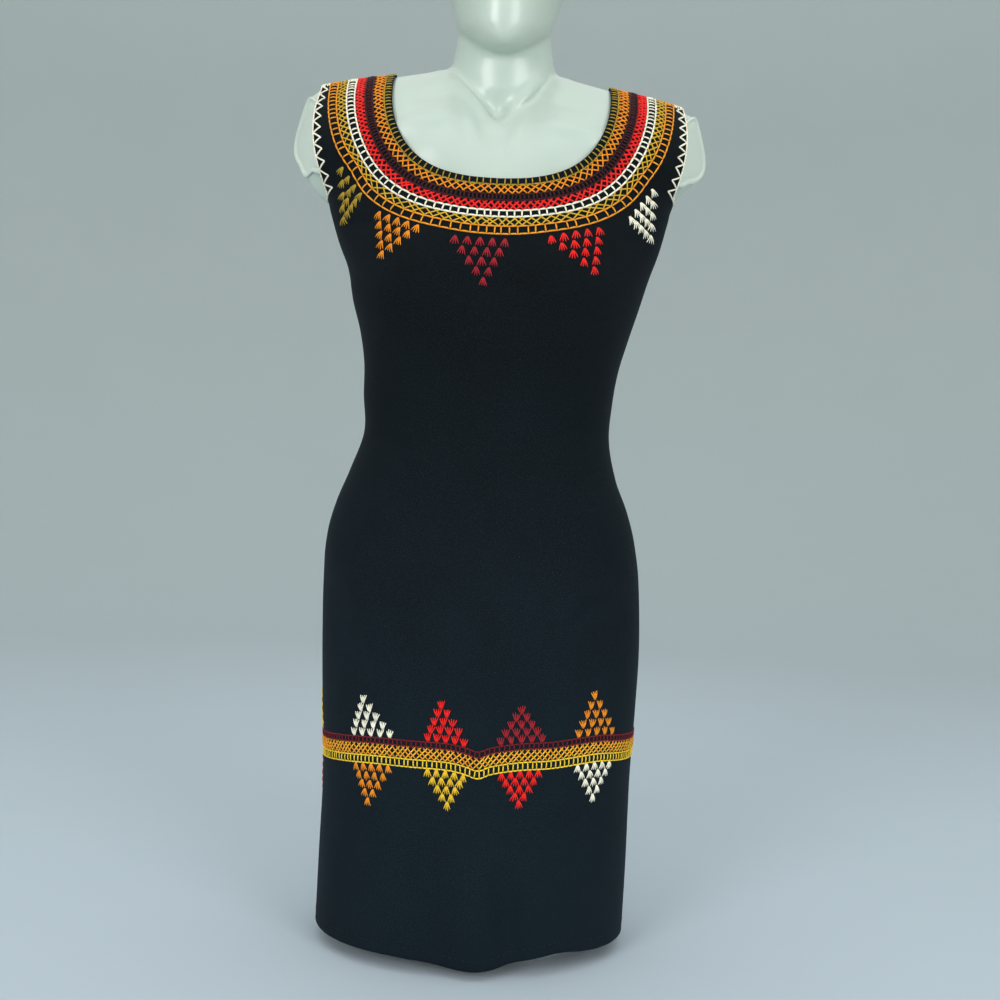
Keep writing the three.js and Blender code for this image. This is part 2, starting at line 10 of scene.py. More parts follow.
import bmesh
import bpy
import numpy as np
from bpy.props import FloatProperty, FloatVectorProperty, IntProperty, PointerProperty
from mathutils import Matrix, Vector


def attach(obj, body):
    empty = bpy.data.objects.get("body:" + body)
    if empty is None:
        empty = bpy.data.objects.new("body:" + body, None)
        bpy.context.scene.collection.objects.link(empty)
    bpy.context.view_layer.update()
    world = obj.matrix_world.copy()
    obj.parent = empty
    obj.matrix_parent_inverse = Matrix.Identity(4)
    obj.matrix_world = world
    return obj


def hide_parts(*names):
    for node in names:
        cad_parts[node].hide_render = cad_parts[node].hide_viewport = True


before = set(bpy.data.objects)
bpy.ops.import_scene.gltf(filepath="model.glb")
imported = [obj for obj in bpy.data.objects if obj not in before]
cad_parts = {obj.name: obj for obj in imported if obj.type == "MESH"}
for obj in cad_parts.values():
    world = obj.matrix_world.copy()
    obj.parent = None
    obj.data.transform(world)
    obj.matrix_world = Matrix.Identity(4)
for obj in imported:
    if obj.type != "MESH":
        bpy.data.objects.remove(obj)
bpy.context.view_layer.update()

bl_info = {
    "name": "Embroidered Sheath Dress",
    "version": (1, 0, 0),
    "blender": (4, 5, 0),
    "location": "3D View > Sidebar > Dress",
    "description": "Builds an embroidered sheath dress, the display form that wears it and their stage",
    "category": "Add Mesh",
}

MM = 0.001
FRONT, BACK = -1, 1
RIGHT, LEFT = -1, 1   # the wearer's hands

# ---- sizes of the dress ------------------------------------------------------------------------

CLOTH = 1.6           # thickness of the cloth wall
SEAM_GAP = 0.3        # space between two pieces that meet
AXIS_X = 2.5          # centre line of the shoulders, neck and head
RIDGE_Y = 6.0         # shoulder seam line, behind the side seams
ROUNDING = 135.0      # height over which the chest rounds back to the shoulder ridge
SHOULDER_TILT = 0.025
UNDERARM_Z, UNDERARM_TILT, UNDERARM_HALF, TURN_IN = 769.0, 0.02, 184.0, 6.0

ARMHOLE = {"bottom": 177.5, "top": 193.5, "height": 90.0, "power": 2.3, "tip": 191.5, "to_tip": 30.0}
NECK = {"half": 113.5, "top": 903.5, "power": 2.8}
NECK_DEPTH = {FRONT: 128.5, BACK: 52.0}
HEM = {"z": 16.0, "dip": 6.0, "dip_at": 5.0, "dip_wide": 40.0,
       "rise": 6.0, "rise_at": 85.0, "rise_wide": 36.0}

# Height, half width, centre, depth in front, depth behind, squareness in front and behind.
SECTIONS = np.array([
    (10, 161, 0, 122, 122, 2.15, 2.15),
    (87, 161.5, 1.5, 121, 122, 2.15, 2.15),
    (182, 161, 3, 119, 123, 2.2, 2.2),
    (246, 164.5, 2.5, 118, 124, 2.2, 2.2),
    (310, 167, 2, 116, 125, 2.25, 2.2),
    (373, 166.5, 0, 113, 124, 2.3, 2.2),
    (421, 161, -2, 109, 119, 2.35, 2.2),
    (453, 152, -2.5, 106, 112, 2.4, 2.2),
    (484, 139.5, -2.5, 102, 105, 2.5, 2.2),
    (525, 128.5, 0, 98, 97, 2.6, 2.2),
    (564, 130.5, 0, 98, 93, 2.7, 2.2),
    (596, 133, 2, 100, 93, 2.8, 2.2),
    (629, 140, 4, 103, 95, 2.8, 2.2),
    (660, 149, 4.5, 104, 99, 2.8, 2.2),
    (692, 157, 6, 104, 102, 2.7, 2.2),
    (724, 169, 5, 102, 105, 2.5, 2.2),
    (755, 178, 4, 97, 108, 2.4, 2.2),
    (775, 184, 3.5, 93, 108, 2.3, 2.2),
    (791, 199, 3, 92, 107, 2.2, 2.2),
    (810, 217, 2.5, 92, 106, 2.2, 2.2),
    (834, 226, 2.5, 91, 104, 2.2, 2.2),
    (860, 218, 2.5, 90, 102, 2.2, 2.2),
    (882, 202, 2.5, 90, 100, 2.2, 2.2),
], dtype=float)
HALF, MID, DEPTH, SQUARE = 1, 2, {FRONT: 3, BACK: 4}, {FRONT: 5, BACK: 6}

# Distance from the centre line, height of the shoulder ridge in front and behind.
RIDGE = np.array([
    (0, 880, 921), (30, 893, 919), (56, 914, 916), (80, 910, 910), (113, 903.5, 903.5),
    (150, 897, 897), (175, 892, 892), (194, 887, 887), (204, 881, 881),
], dtype=float)

BUST = {"x": 76.0, "z": 672.0, "rise": 24.0, "wide": 58.0, "above": 62.0, "below": 88.0}

# Side, where a fold starts (x, z) and ends (x, z), its width and depth. A trough is negative.
FOLDS = np.array([
    (FRONT, -1, 165, 14, -40, 30, 15),
    (FRONT, 25, 115, 49, -15, 15, -7),
    (FRONT, 58, 125, 72, -30, 20, 5),
    (FRONT, -137, 140, -88, 30, 17, -5),
    (FRONT, 160, 390, 104, 258, 21, -6),
    (FRONT, -163, 400, -120, 275, 18, -5),
    (FRONT, -90, 585, -80, 415, 17, -4),
    (BACK, -52, 330, -78, -60, 26, -7),
    (BACK, 34, 250, 52, -60, 22, -6),
    (BACK, -10, 210, -14, -60, 30, 8),
    (BACK, 120, 300, 98, -20, 20, -5),
    (BACK, -78, 500, 74, 512, 17, -5),
], dtype=float)

# The softer creases, laid over the folds in the same way.
CREASES = np.array([
    (FRONT, 2, 268, 8, 118, 10, 4.5),
    (FRONT, -157, 735, -112, 728, 7, -2.2),
    (FRONT, 160, 728, 122, 716, 8, -1.8),
    (FRONT, -126, 340, -92, 280, 9, -2.4),
    (FRONT, 122, 372, 82, 320, 10, -2.8),
    (FRONT, -60, 664, 62, 668, 16, -2.0),
    (FRONT, -128, 528, -64, 498, 8, -2.0),
    (FRONT, 126, 540, 58, 520, 9, -1.8),
    (FRONT, -60, 90, -52, -10, 13, 2.4),
    (FRONT, 96, 190, 118, 30, 12, 2.0),
    (FRONT, -30, 480, 40, 470, 14, -1.5),
    (BACK, -118, 705, -60, 640, 13, -2.6),
    (BACK, 122, 700, 58, 636, 12, -2.4),
    (BACK, -6, 820, -4, 560, 20, -4.0),
    (BACK, -96, 478, -20, 470, 8, -2.2),
    (BACK, 104, 552, 28, 540, 9, -2.4),
    (BACK, -132, 390, -84, 300, 12, -2.6),
    (BACK, 132, 400, 92, 318, 12, -2.2),
    (BACK, 78, 120, 84, -30, 15, 3.0),
], dtype=float)

# Grid of each panel: rows and columns of the body, and of the strap above it.
PANELS = {
    FRONT: {"columns": 168, "strap_columns": 48, "rows_below": 190, "rows_beside": 6,
            "strap_rows": 56, "beside_top": 784.0, "corner": 86.0, "sag": 16.0},
    BACK: {"columns": 156, "strap_columns": 42, "rows_below": 180, "rows_beside": 42,
           "strap_rows": 26, "beside_top": 852.0, "corner": 92.0, "sag": 0.0},
}

# ---- sizes of the form and its stand --------------------------------------------------------------

# Height, and how far the form stays inside the cloth beyond the cloth's own thickness.
FORM_INSET = np.array([
    (280, 11), (400, 9), (525, 7), (640, 6.2), (690, 6.2), (745, 6), (778, 8.2), (815, 4.3),
    (860, 1.6), (905, 0.9),
], dtype=float)
TORSO = {"bottom": 285.0, "edge": 8.0, "start": 765.0, "lift": 0.9, "least_depth": 60.0,
         "rise": 9.0, "rise_from": 729.0, "half_columns": 64, "rows": 64, "shoulder_rows": 30}

# Outside the armholes the arm stumps run on: beyond "from" they are drawn out, most at their middle
# height, and their undersides sink. The rise eases to this one between the two heights.
STUMP = {"from": 193.0, "sink": 0.45, "rise": 2.0, "low": 772.0, "high": 797.0}
STUMP_SPREAD = np.array([
    (797, 0.6), (812, 1.05), (820, 1.6), (834, 2.6), (842, 2.7), (885, 1.4),
], dtype=float)
# A rounded bulge under each stump fills the lower end of the armhole: its middle and half sizes.
STUMP_BULGE = [(-172.0, 12.0, 822.0, 45.0, 33.0, 55.0), (172.0, 12.0, 835.0, 55.0, 33.0, 57.0)]

# Soft modelling of the form's throat: the neck's cords down to the pit between the collarbones, the
# collarbones, and the hollows above them. Laid out as the folds are.
THROAT = np.array([
    (FRONT, -60, 908, 8, 826, 7.0, 6.0),
    (FRONT, 53, 906, -12, 826, 7.0, 6.0),
    (FRONT, -36, 866, -15, 800, 6.0, 2.4),
    (FRONT, 26, 856, 10, 800, 6.0, 2.4),
    (FRONT, -2, 880, -1, 836, 12.0, -6.5),
    (FRONT, -132, 818, -34, 848, 9.0, 4.6),
    (FRONT, 138, 816, 30, 844, 9.0, 4.6),
    (FRONT, -96, 862, -32, 876, 12.0, -5.5),
    (FRONT, 98, 860, 28, 872, 12.0, -5.5),
], dtype=float)

# Height, half width, reach in front (-) and behind (+).
NECK_SECTIONS = np.array([
    (835, 48, -38, 60), (880, 55, -45, 68), (905, 58, -48, 66), (925, 53, -50, 61),
    (961, 48, -52, 58), (995, 48, -50, 60),
], dtype=float)
HEAD_SECTIONS = np.array([
    (911, 5, -80, -62), (916, 19, -87, -40), (924, 30, -91, -20), (933, 39, -93, -2),
    (945, 47, -95, 42), (968, 54, -97, 70), (1000, 64, -98, 86), (1040, 74, -97, 94),
    (1075, 74, -88, 92), (1103, 61, -68, 76), (1121, 39, -42, 52), (1128, 8, -6, 16),
], dtype=float)

# Where a stump is cut, and the turn of the cut towards the front in degrees.
CAP = {"x": 209.0, "y": 12.0, "z": 834.0, "turn": 33.0}
# The cover's rolled rim and groove: distance in from its edge, and out from the cut.
CAP_PROFILE = np.array([
    (0.2, 0.3), (-0.5, 0.7), (-0.9, 1.5), (-0.6, 2.3), (0.4, 2.9), (1.7, 3.0), (2.8, 2.6), (3.6, 1.9),
    (4.4, 1.4), (5.4, 1.3), (6.6, 1.7), (8.5, 2.1), (14, 2.4), (24, 2.6),
])
CAP_SIDES = 120

# The stand's pieces, with the radius of their rounded edges.
PLATE = {"half_x": 130.0, "half_y": 95.0, "y": 14.0, "thickness": 8.0, "edge": 2.4}
POLE = {"radius": 12.5, "y": 12.0, "edge": 0.6}
POLE_FOOT = {"radius": 30.0, "height": 10.0, "edge": 2.0}
POLE_SOCKET = {"radius": 32.0, "height": 12.0, "edge": 2.0}
TURNED_SIDES = 96

# ---- sizes of the needlework ------------------------------------------------------------------------

# Distance of each row's edge from the neck edge, at the middle of the front and at the shoulder.
NECK_ROW_EDGES = np.array([
    (0.0, 0.0), (6.9, 7.3), (17.5, 20.1), (24.0, 28.1), (34.3, 39.6), (40.9, 48.8), (50.5, 60.0),
    (58.5, 69.0),
])

# Kind, colour, its two edges in the list above, stitch pitch and thread radius.
NECK_ROWS = [
    ("ladder", "olive", 0, 1, 6.2, 0.66),
    ("lattice", "orange", 1, 2, 6.9, 0.76),
    ("ladder", "wine", 2, 3, 3.4, 0.95),
    ("lattice", "red", 3, 4, 5.3, 0.92),
    ("ladder", "cream", 4, 5, 6.2, 0.92),
    ("lattice", "gold", 5, 6, 6.6, 0.70),
    ("ladder", "amber", 6, 7, 6.4, 0.80),
]
# The outer rows are drawn in where the band turns its corners: the first row edge that is, how far,
# the corner's place as a share of half the neck edge, its width, and the left corner's share.
NECK_PINCH = {"from_edge": 6, "depth": 3.2, "at": 0.55, "wide": 11.0, "left": 0.6}

# Skirt band: kind, colours, its upper and lower edge below the band's top, pitch and thread radius.
SKIRT_ROWS = [
    ("ladder", "maroon", "maroon", 0.0, 5.4, 4.8, 0.66),
    ("lattice", "yellow", "orange", 5.6, 17.7, 5.6, 0.68),
    ("ladder", "yellow", "yellow", 17.9, 25.3, 4.7, 0.68),
]

# Where the length round the skirt is measured, with its middle and half width there.
SKIRT_RING = {"z": 212.0, "mid": 2.7, "half": 162.5}
NEAR_SEAM = 0.999999      # share of the half width that still lies on the cloth, not past its seam

# Height of the band's top edge by place across the front, and across the back.
BAND_TOP = {
    FRONT: np.array([
        (-165, 214), (-150, 216), (-135, 218.6), (-100, 222.5), (-60, 223.3), (-25, 223), (-5, 219.5),
        (5, 217), (16, 220.5), (45, 225), (75, 226.5), (105, 229.6), (125, 230.4), (150, 227),
        (166, 225),
    ], dtype=float),
    BACK: np.array([(-165, 214), (-80, 213), (0, 217), (80, 223), (166, 225)], dtype=float),
}

# Hanging triangles of the neck: colour, first and last tuft of the top row (x, z), the tip (x, z),
# tufts in each row, and the lean of the tufts at the top and at the tip in degrees.
NECK_TRIANGLES = {
    FRONT: [
        ("olive", (-158.0, 786.0), (-136.5, 757.6), (-154.0, 736.5), (4, 3, 3, 2, 1), 38, 10),
        ("orange", (-114.2, 735.4), (-74.3, 718.5), (-108.5, 694.3), (5, 4, 3, 2, 1), 20, 14),
        ("dark_red", (-36.8, 708.3), (11.6, 708.0), (-8.1, 669.1), (5, 4, 3, 2, 1), 2, 0),
        ("red", (56.6, 711.5), (103.4, 724.8), (98.8, 683.3), (5, 4, 3, 2, 1), -12, -2),
        ("cream", (160.1, 775.6), (136.8, 742.5), (158.6, 728.4), (5, 4, 3, 2, 1), -30, -8),
    ],
    BACK: [
        ("orange", (-104.0, 780.0), (-62.0, 770.0), (-88.0, 738.0), (5, 4, 3, 2, 1), 12, 6),
        ("red", (-20.0, 768.0), (24.0, 768.0), (2.0, 732.0), (5, 4, 3, 2, 1), 0, 0),
        ("cream", (66.0, 769.0), (108.0, 777.0), (92.0, 736.0), (5, 4, 3, 2, 1), -12, -6),
    ],
}

# Triangles of the skirt band across the front: place, then width, shear and height of the one
# above the band and of the one below it, and their colours.
SKIRT_TRIANGLES = [
    (-100.3, 42, -9, 31.5, 38, -3, 34.0, "cream", "orange"),
    (-26.5, 35, -5, 32.5, 35, 3, 30.0, "red", "corn"),
    (45.9, 40, -1, 28.0, 36, 0, 28.5, "dark_red", "red"),
    (119.2, 42, -4, 35.0, 40, 0, 31.5, "orange", "cream"),
]
TRIANGLE_COUNTS = (5, 4, 3, 2, 1)
TRIANGLE_CLEAR = {"over": 4.3, "under": 4.2}      # from the band to the middle of the nearest tufts
# The triangles that go on round the sides and the back: how far the first and the last of them keep
# from the front's outer ones, the range of their sizes, and their colours.
TRIANGLE_ROUND = {"after": 68.0, "before": 57.0, "wide": (37, 42), "tall": (29, 34), "shear": (-4, 4)}
SKIRT_ROUND = [
    ("yellow", "dark_red"), ("cream", "orange"), ("red", "corn"), ("dark_red", "red"),
    ("orange", "cream"), ("yellow", "dark_red"), ("cream", "orange"), ("red", "corn"),
    ("yellow", "dark_red"),
]

# Overcast shoulder seam: from and to, counted from the centre line, and colour.
SHOULDER_BANDS = [
    (113.5, 121, "olive"), (121, 133.5, "orange"), (133.5, 141.5, "wine"), (141.5, 153, "red"),
    (153, 162.5, "cream"), (162.5, 173.5, "gold"), (173.5, 182.5, "amber"), (182.5, 191.5, "cream"),
]
OVERCAST = {"pitch": 2.1, "radius": 0.8, "slant": 1.2}
# The armhole's zigzag and the rail along its edge, and how high they run at the shoulder.
ZIGZAG = {"radius": 0.95, "rail_radius": 0.9, "rail_in": 0.5, "near": 0.6, "top": 886.0, "top_tilt": 4.5}
# The hem's stitches: height above the edge, share of each step that shows, thread radius.
HEM_STITCH = {"above": 10.5, "share": 0.55, "radius": 0.35, "half_at": 26.0, "turn_length": 150.0}

FLOSS = {
    "olive": "#B4952A",
    "orange": "#F79418",
    "wine": "#3C0A12",
    "dark_red": "#A81C2A",
    "maroon": "#7A1220",
    "corn": "#F2C42C",
    "red": "#F51E18",
    "cream": "#FFF9E2",
    "gold": "#DDB02A",
    "amber": "#F9A01E",
    "yellow": "#FFD836",
    "black": "#12151B",
}


# ---- small tools ---------------------------------------------------------------------------------


def linear(code):
    """Linear red, green, blue and alpha of an sRGB hex colour."""
    value = np.array([int(code[i:i + 2], 16) / 255 for i in (1, 3, 5)])
    value = np.where(value <= 0.04045, value / 12.92, ((value + 0.055) / 1.055) ** 2.4)
    return (*value.tolist(), 1.0)


def add_node(tree, kind, inputs=None, **settings):
    """Adds one node: its settings are attributes, and each input is a value or an output to link."""
    node = tree.nodes.new(kind)
    for name, value in settings.items():
        setattr(node, name, value)
    for socket, value in (inputs or {}).items():
        if isinstance(value, bpy.types.NodeSocket):
            tree.links.new(value, node.inputs[socket])
        else:
            node.inputs[socket].default_value = value
    return node


def new_material(name):
    """An empty node material with its surface shader and output."""
    material = bpy.data.materials.new(name)
    material.use_nodes = True
    tree = material.node_tree
    tree.nodes.clear()
    shader = add_node(tree, "ShaderNodeBsdfPrincipled")
    add_node(tree, "ShaderNodeOutputMaterial", {"Surface": shader.outputs["BSDF"]})
    return material, tree, shader


def set_surface(tree, shader, **inputs):
    """Sets or links the surface shader's inputs. Each name is an input's, with _ for a space."""
    for name, value in inputs.items():
        socket = shader.inputs[name.replace("_", " ")]
        if isinstance(value, bpy.types.NodeSocket):
            tree.links.new(value, socket)
        else:
            socket.default_value = value


def object_place(tree):
    """The place on a piece, in metres from the origin."""
    return add_node(tree, "ShaderNodeTexCoord").outputs["Object"]


def noise(tree, place, scale, detail, output="Fac", **inputs):
    """Soft noise with a scale in cells a metre."""
    node = add_node(tree, "ShaderNodeTexNoise", {"Vector": place, "Scale": scale, "Detail": detail, **inputs})
    return node.outputs[output]


def remap(tree, value, low, high, to_low=0.0, to_high=1.0):
    """A value's place between low and high, carried to the span between to_low and to_high."""
    return add_node(tree, "ShaderNodeMapRange", {0: value, 1: low, 2: high, 3: to_low, 4: to_high}).outputs[0]


def maths(tree, operation, *values):
    """One step of arithmetic on one or two values."""
    return add_node(tree, "ShaderNodeMath", dict(enumerate(values)), operation=operation).outputs[0]


def scaled(tree, colour, factor):
    """A colour times a factor."""
    node = add_node(tree, "ShaderNodeVectorMath", {0: colour, "Scale": factor}, operation="SCALE")
    return node.outputs["Vector"]


def blend(tree, factor, first, second):
    """A mix of two colours."""
    node = add_node(tree, "ShaderNodeMix", {0: factor, 6: (*first, 1), 7: (*second, 1)}, data_type="RGBA")
    return node.outputs[2]


def bump(tree, height, strength, distance):
    """A surface direction tilted by a height, whose whole step is a distance in metres."""
    inputs = {"Strength": strength, "Distance": distance, "Height": height}
    return add_node(tree, "ShaderNodeBump", inputs).outputs["Normal"]


def ramp(tree, factor, stops):
    """A colour ramp from a list of positions and hex colours."""
    node = add_node(tree, "ShaderNodeValToRGB", {"Fac": factor})
    elements = node.color_ramp.elements
    elements[0].position, elements[0].color = stops[0][0], linear(stops[0][1])
    elements[1].position, elements[1].color = stops[-1][0], linear(stops[-1][1])
    for position, code in stops[1:-1]:
        elements.new(position).color = linear(code)
    return node.outputs["Color"]


def build_mesh(name, points, faces, material_ids=None, uv=None, uv_name="weave"):
    """A smooth mesh from millimetre points and a list of face arrays, each with one side count.

    uv holds one array for each face array, with a place for every corner.
    """
    mesh = bpy.data.meshes.new(name)
    corners = np.concatenate([block.ravel() for block in faces])
    sides = np.concatenate([np.full(len(block), block.shape[1]) for block in faces])
    mesh.vertices.add(len(points))
    mesh.vertices.foreach_set("co", (np.asarray(points) * MM).astype(np.float32).ravel())
    mesh.loops.add(len(corners))
    mesh.loops.foreach_set("vertex_index", corners.astype(np.int32))
    mesh.polygons.add(len(sides))
    mesh.polygons.foreach_set("loop_start", np.concatenate([[0], np.cumsum(sides)[:-1]]).astype(np.int32))
    mesh.polygons.foreach_set("use_smooth", np.ones(len(sides), dtype=bool))
    if material_ids is not None:
        mesh.polygons.foreach_set("material_index", material_ids.astype(np.int32))
    if uv is not None:
        layer = mesh.uv_layers.new(name=uv_name)
        flat = np.concatenate([block.reshape(-1, 2) for block in uv])
        layer.uv.foreach_set("vector", flat.astype(np.float32).ravel())
    mesh.update(calc_edges=True)
    mesh.validate()
    return link(name, mesh)


def finish_piece(obj, materials, node=None):
    """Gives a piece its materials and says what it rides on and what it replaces."""
    for material in materials:
        obj.data.materials.append(material)
    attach(obj, "root")
    if node:
        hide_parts(node)
    return obj


def link(name, data):
    """A new object in the scene for some data."""
    obj = bpy.data.objects.new(name, data)
    bpy.context.scene.collection.objects.link(obj)
    return obj


def mix(a, b, t):
    """The value a share t of the way from a to b."""
    return a + (b - a) * t


def grid_faces(rows, columns, closed=False):
    """Corner numbers of the quads of a grid of points, row by row. A closed grid joins its ends."""
    span = columns if closed else columns - 1
    row = np.arange(rows - 1)[:, None] * columns
    a = np.arange(span)[None, :]
    b = (a + 1) % columns
    quads = np.stack([row + a, row + b, row + columns + b, row + columns + a], axis=-1)
    return quads.reshape(-1, 4)


def along(table, column, at):
    """A smooth curve through one column of a table, read at many places, and level past its ends.

    Between two rows it is the straight line plus t(1-t) times the two rows' excess slopes, each
    weighed by how near it is.
    """
    place, value = table[:, 0], table[:, column]
    last = len(place) - 1
    at = np.clip(at, place[0], place[-1])
    i = np.clip(np.searchsorted(place, at, side="right") - 1, 0, last - 1)
    low = np.maximum(np.arange(last + 1) - 1, 0)
    high = np.minimum(np.arange(last + 1) + 1, last)
    slope = (value[high] - value[low]) / (place[high] - place[low])
    step = place[i + 1] - place[i]
    t = (at - place[i]) / step
    rise = value[i + 1] - value[i]
    start, end = slope[i] * step - rise, rise - slope[i + 1] * step
    return value[i] + rise * t + t * (1 - t) * (start * (1 - t) + end * t)


def smooth(t, low=0.0, high=1.0):
    """3t^2 - 2t^3 of the place of t between low and high."""
    t = np.clip((t - low) / (high - low), 0, 1)
    return t * t * (3 - 2 * t)


# ---- the surface of the cloth ----------------------------------------------------------------------


def ridge(x, side):
    """Height of the shoulder seam: the ridge table by distance from the centre line, tilted."""
    return along(RIDGE, 1 if side == FRONT else 2, np.abs(x - AXIS_X)) - SHOULDER_TILT * (x - AXIS_X)


def skin(side, x, z):
    """Depth of the smooth garment at a place of the front view.

    Each section is a superellipse, (1 - |across|^n)^(1/n) of its depth, with two bell-shaped busts
    added in front. Near the shoulder it is drawn back to the ridge by (1 - (1 - drop)^2)^0.625.
    """
    depth = along(SECTIONS, DEPTH[side], z)
    square = along(SECTIONS, SQUARE[side], z)
    across = np.clip(np.abs(x - along(SECTIONS, MID, z)) / along(SECTIONS, HALF, z), 0, 1)
    if side == FRONT:
        tall = np.where(z > BUST["z"], BUST["above"], BUST["below"])
        height = np.exp(-(((z - BUST["z"]) / tall) ** 2))
        pair = sum(np.exp(-(((x - AXIS_X + hand * BUST["x"]) / BUST["wide"]) ** 2)) for hand in (RIGHT, LEFT))
        depth = depth + BUST["rise"] * height * pair
    drop = np.clip((ridge(x, side) - z) / ROUNDING, 0, 1)
    rounding = (1 - (1 - drop) ** 2) ** 0.625
    return RIDGE_Y * (1 - rounding) + side * depth * (1 - across ** square) ** (1 / square) * rounding


def fold_push(table, side, x, z):
    """Outward push of a table of folds: a bell across each line, and sin^1.2 along it."""
    push = np.zeros_like(x + z)
    for _, x0, z0, x1, z1, width, depth in table[table[:, 0] == side]:
        dx, dz = x1 - x0, z1 - z0
        length = math.hypot(dx, dz)
        t = np.clip(((x - x0) * dx + (z - z0) * dz) / length ** 2, 0, 1)
        off = ((x - x0) * dz - (z - z0) * dx) / length
        push = push + depth * np.sin(np.pi * t) ** 1.2 * np.exp(-((off / width) ** 2))
    return push


def ripple(side, x, z):
    """The slight unevenness of hanging cloth: three slow waves that cross at odd angles."""
    first = np.sin(x / 23.0 + z / 61.0 + side)
    second = np.sin(x / 41.0 - z / 37.0 + 2.1 * side)
    third = np.sin(x / 13.0 + z / 97.0 + 0.7)
    return 0.35 * first + 0.4 * second + 0.12 * third


def cloth_point(side, x, z):
    """A point of the cloth's outer face, pushed outwards by its folds and creases."""
    mid, half = along(SECTIONS, MID, z), along(SECTIONS, HALF, z)
    depth = along(SECTIONS, DEPTH[side], z)
    y = skin(side, x, z)
    out_x, out_y = (x - mid) / half ** 2, side * np.abs(y) / depth ** 2
    push = fold_push(FOLDS, side, x, z) + fold_push(CREASES, side, x, z) + ripple(side, x, z)
    # The seams and the shoulders stay where they are sewn.
    push = push * np.minimum(1, np.abs(y) / (0.3 * depth)) * smooth(ridge(x, side) - z, 0, 60)
    unit = push / np.maximum(np.hypot(out_x, out_y), 1e-6)
    return np.stack([x + out_x * unit, y + out_y * unit + side * SEAM_GAP / 2, z + 0 * x], axis=-1)


def cloth_place(side, x, z):
    """Point and outward direction of the outer face: the cross product of two small steps."""
    z = np.minimum(z, ridge(x, side) - 0.2)
    point = cloth_point(side, x, z)
    step = 0.4
    across = cloth_point(side, x + step, z) - cloth_point(side, x - step, z)
    up = point - cloth_point(side, x, z - step)
    normal = -side * np.cross(across, up)
    return point, normal / np.maximum(np.linalg.norm(normal, axis=-1, keepdims=True), 1e-9)


def neck_half(z, depth):
    """Half width of the neck opening at a height: a superellipse."""
    drop = np.clip((NECK["top"] - z) / depth, 0, 1)
    return NECK["half"] * (1 - drop ** NECK["power"]) ** (1 / NECK["power"])


def neck_height(x, depth):
    """Height of the neck edge at a distance from the centre line."""
    across = np.clip(np.abs(x - AXIS_X) / NECK["half"], 0, 1)
    return NECK["top"] - depth * (1 - across ** NECK["power"]) ** (1 / NECK["power"])


def armhole_half(z):
    """Distance of the armhole edge from the centre line at a height."""
    rise = np.clip((z - UNDERARM_Z) / ARMHOLE["height"], 0, 1)
    wide = ARMHOLE["bottom"] + (ARMHOLE["top"] - ARMHOLE["bottom"]) * (1 - (1 - rise) ** ARMHOLE["power"])
    to_tip = np.clip((z - UNDERARM_Z - ARMHOLE["height"]) / ARMHOLE["to_tip"], 0, 1)
    return wide + (ARMHOLE["tip"] - wide) * to_tip


def hem_height(side, x):
    """Height of the hem: it dips at the centre fold and lifts beside it in front."""
    dip = HEM["dip"] * np.exp(-(((x - HEM["dip_at"]) / HEM["dip_wide"]) ** 2))
    rise = HEM["rise"] * np.exp(-(((x - HEM["rise_at"]) / HEM["rise_wide"]) ** 2))
    return HEM["z"] - dip + rise if side == FRONT else HEM["z"] + 0 * x


# ---- the two cut panels ------------------------------------------------------------------------------


def body_places(side):
    """Front-view places of a panel's grid below the straps.

    Columns fan out as the sine of an even angle from seam to seam, and near the top they drift to
    the armhole, the strap's foot and the neck edge.
    """
    cut = PANELS[side]
    columns, strap = cut["columns"], cut["strap_columns"]
    column = np.arange(columns + 1)[None, :]
    row = np.arange(cut["rows_below"] + cut["rows_beside"] + 1)[:, None]
    turn = np.sin(np.pi * (column / columns - 0.5))
    hand = np.sign(turn)
    under = UNDERARM_Z + UNDERARM_TILT * hand * UNDERARM_HALF
    level = under - cut["sag"] * (1 - np.abs(turn) ** 3)

    from_side = np.minimum(column, columns - column)
    beside = armhole_half(cut["beside_top"])
    t = from_side / strap
    strap_x = AXIS_X + hand * (beside + (cut["corner"] - beside) * t)
    corner_z = neck_height(AXIS_X + cut["corner"], NECK_DEPTH[side])
    strap_z = cut["beside_top"] + (corner_z - cut["beside_top"]) * t ** 1.5
    across = 2 * (column - strap) / (columns - 2 * strap) - 1
    spread = 1.15
    neck_x = AXIS_X + cut["corner"] * np.sin(np.clip(across, -1, 1) * spread) / math.sin(spread)
    in_strap = from_side <= strap
    top_x = np.where(in_strap, strap_x, neck_x)
    top_z = np.where(in_strap, strap_z, neck_height(neck_x, NECK_DEPTH[side]))
    top_turn = (top_x - AXIS_X) / beside
    meet = cut["rows_below"] / (cut["rows_below"] + cut["rows_beside"])

    t = np.clip(row / cut["rows_below"], 0, 1)
    foot = hem_height(side, along(SECTIONS, HALF, np.array(HEM["z"])) * turn)
    z_low = foot + (level - foot) * t
    drift = smooth(t, 0.6, 1) * meet
    x_low = along(SECTIONS, MID, z_low) + along(SECTIONS, HALF, z_low) * (turn + (top_turn - turn) * drift)

    # Above the underarm each row ends at the armhole edge, just inside the side seam.
    t = np.clip((row - cut["rows_below"]) / cut["rows_beside"], 0, 1)
    edge_z = under + (cut["beside_top"] - under) * t ** 1.4
    turn_in = np.clip((edge_z - under) / TURN_IN, 0, 1)
    seam_mid, seam_half = along(SECTIONS, MID, under), along(SECTIONS, HALF, under)
    middle = seam_mid + (AXIS_X - seam_mid) * turn_in
    reach = seam_half + (armhole_half(edge_z) - seam_half) * turn_in
    x_high = middle + reach * (turn + (top_turn - turn) * (meet + (1 - meet) * t))
    z_high = np.where(from_side == 0, edge_z, level + (top_z - level) * t)
    below = row <= cut["rows_below"]
    return np.where(below, x_low, x_high), np.where(below, z_low, z_high)


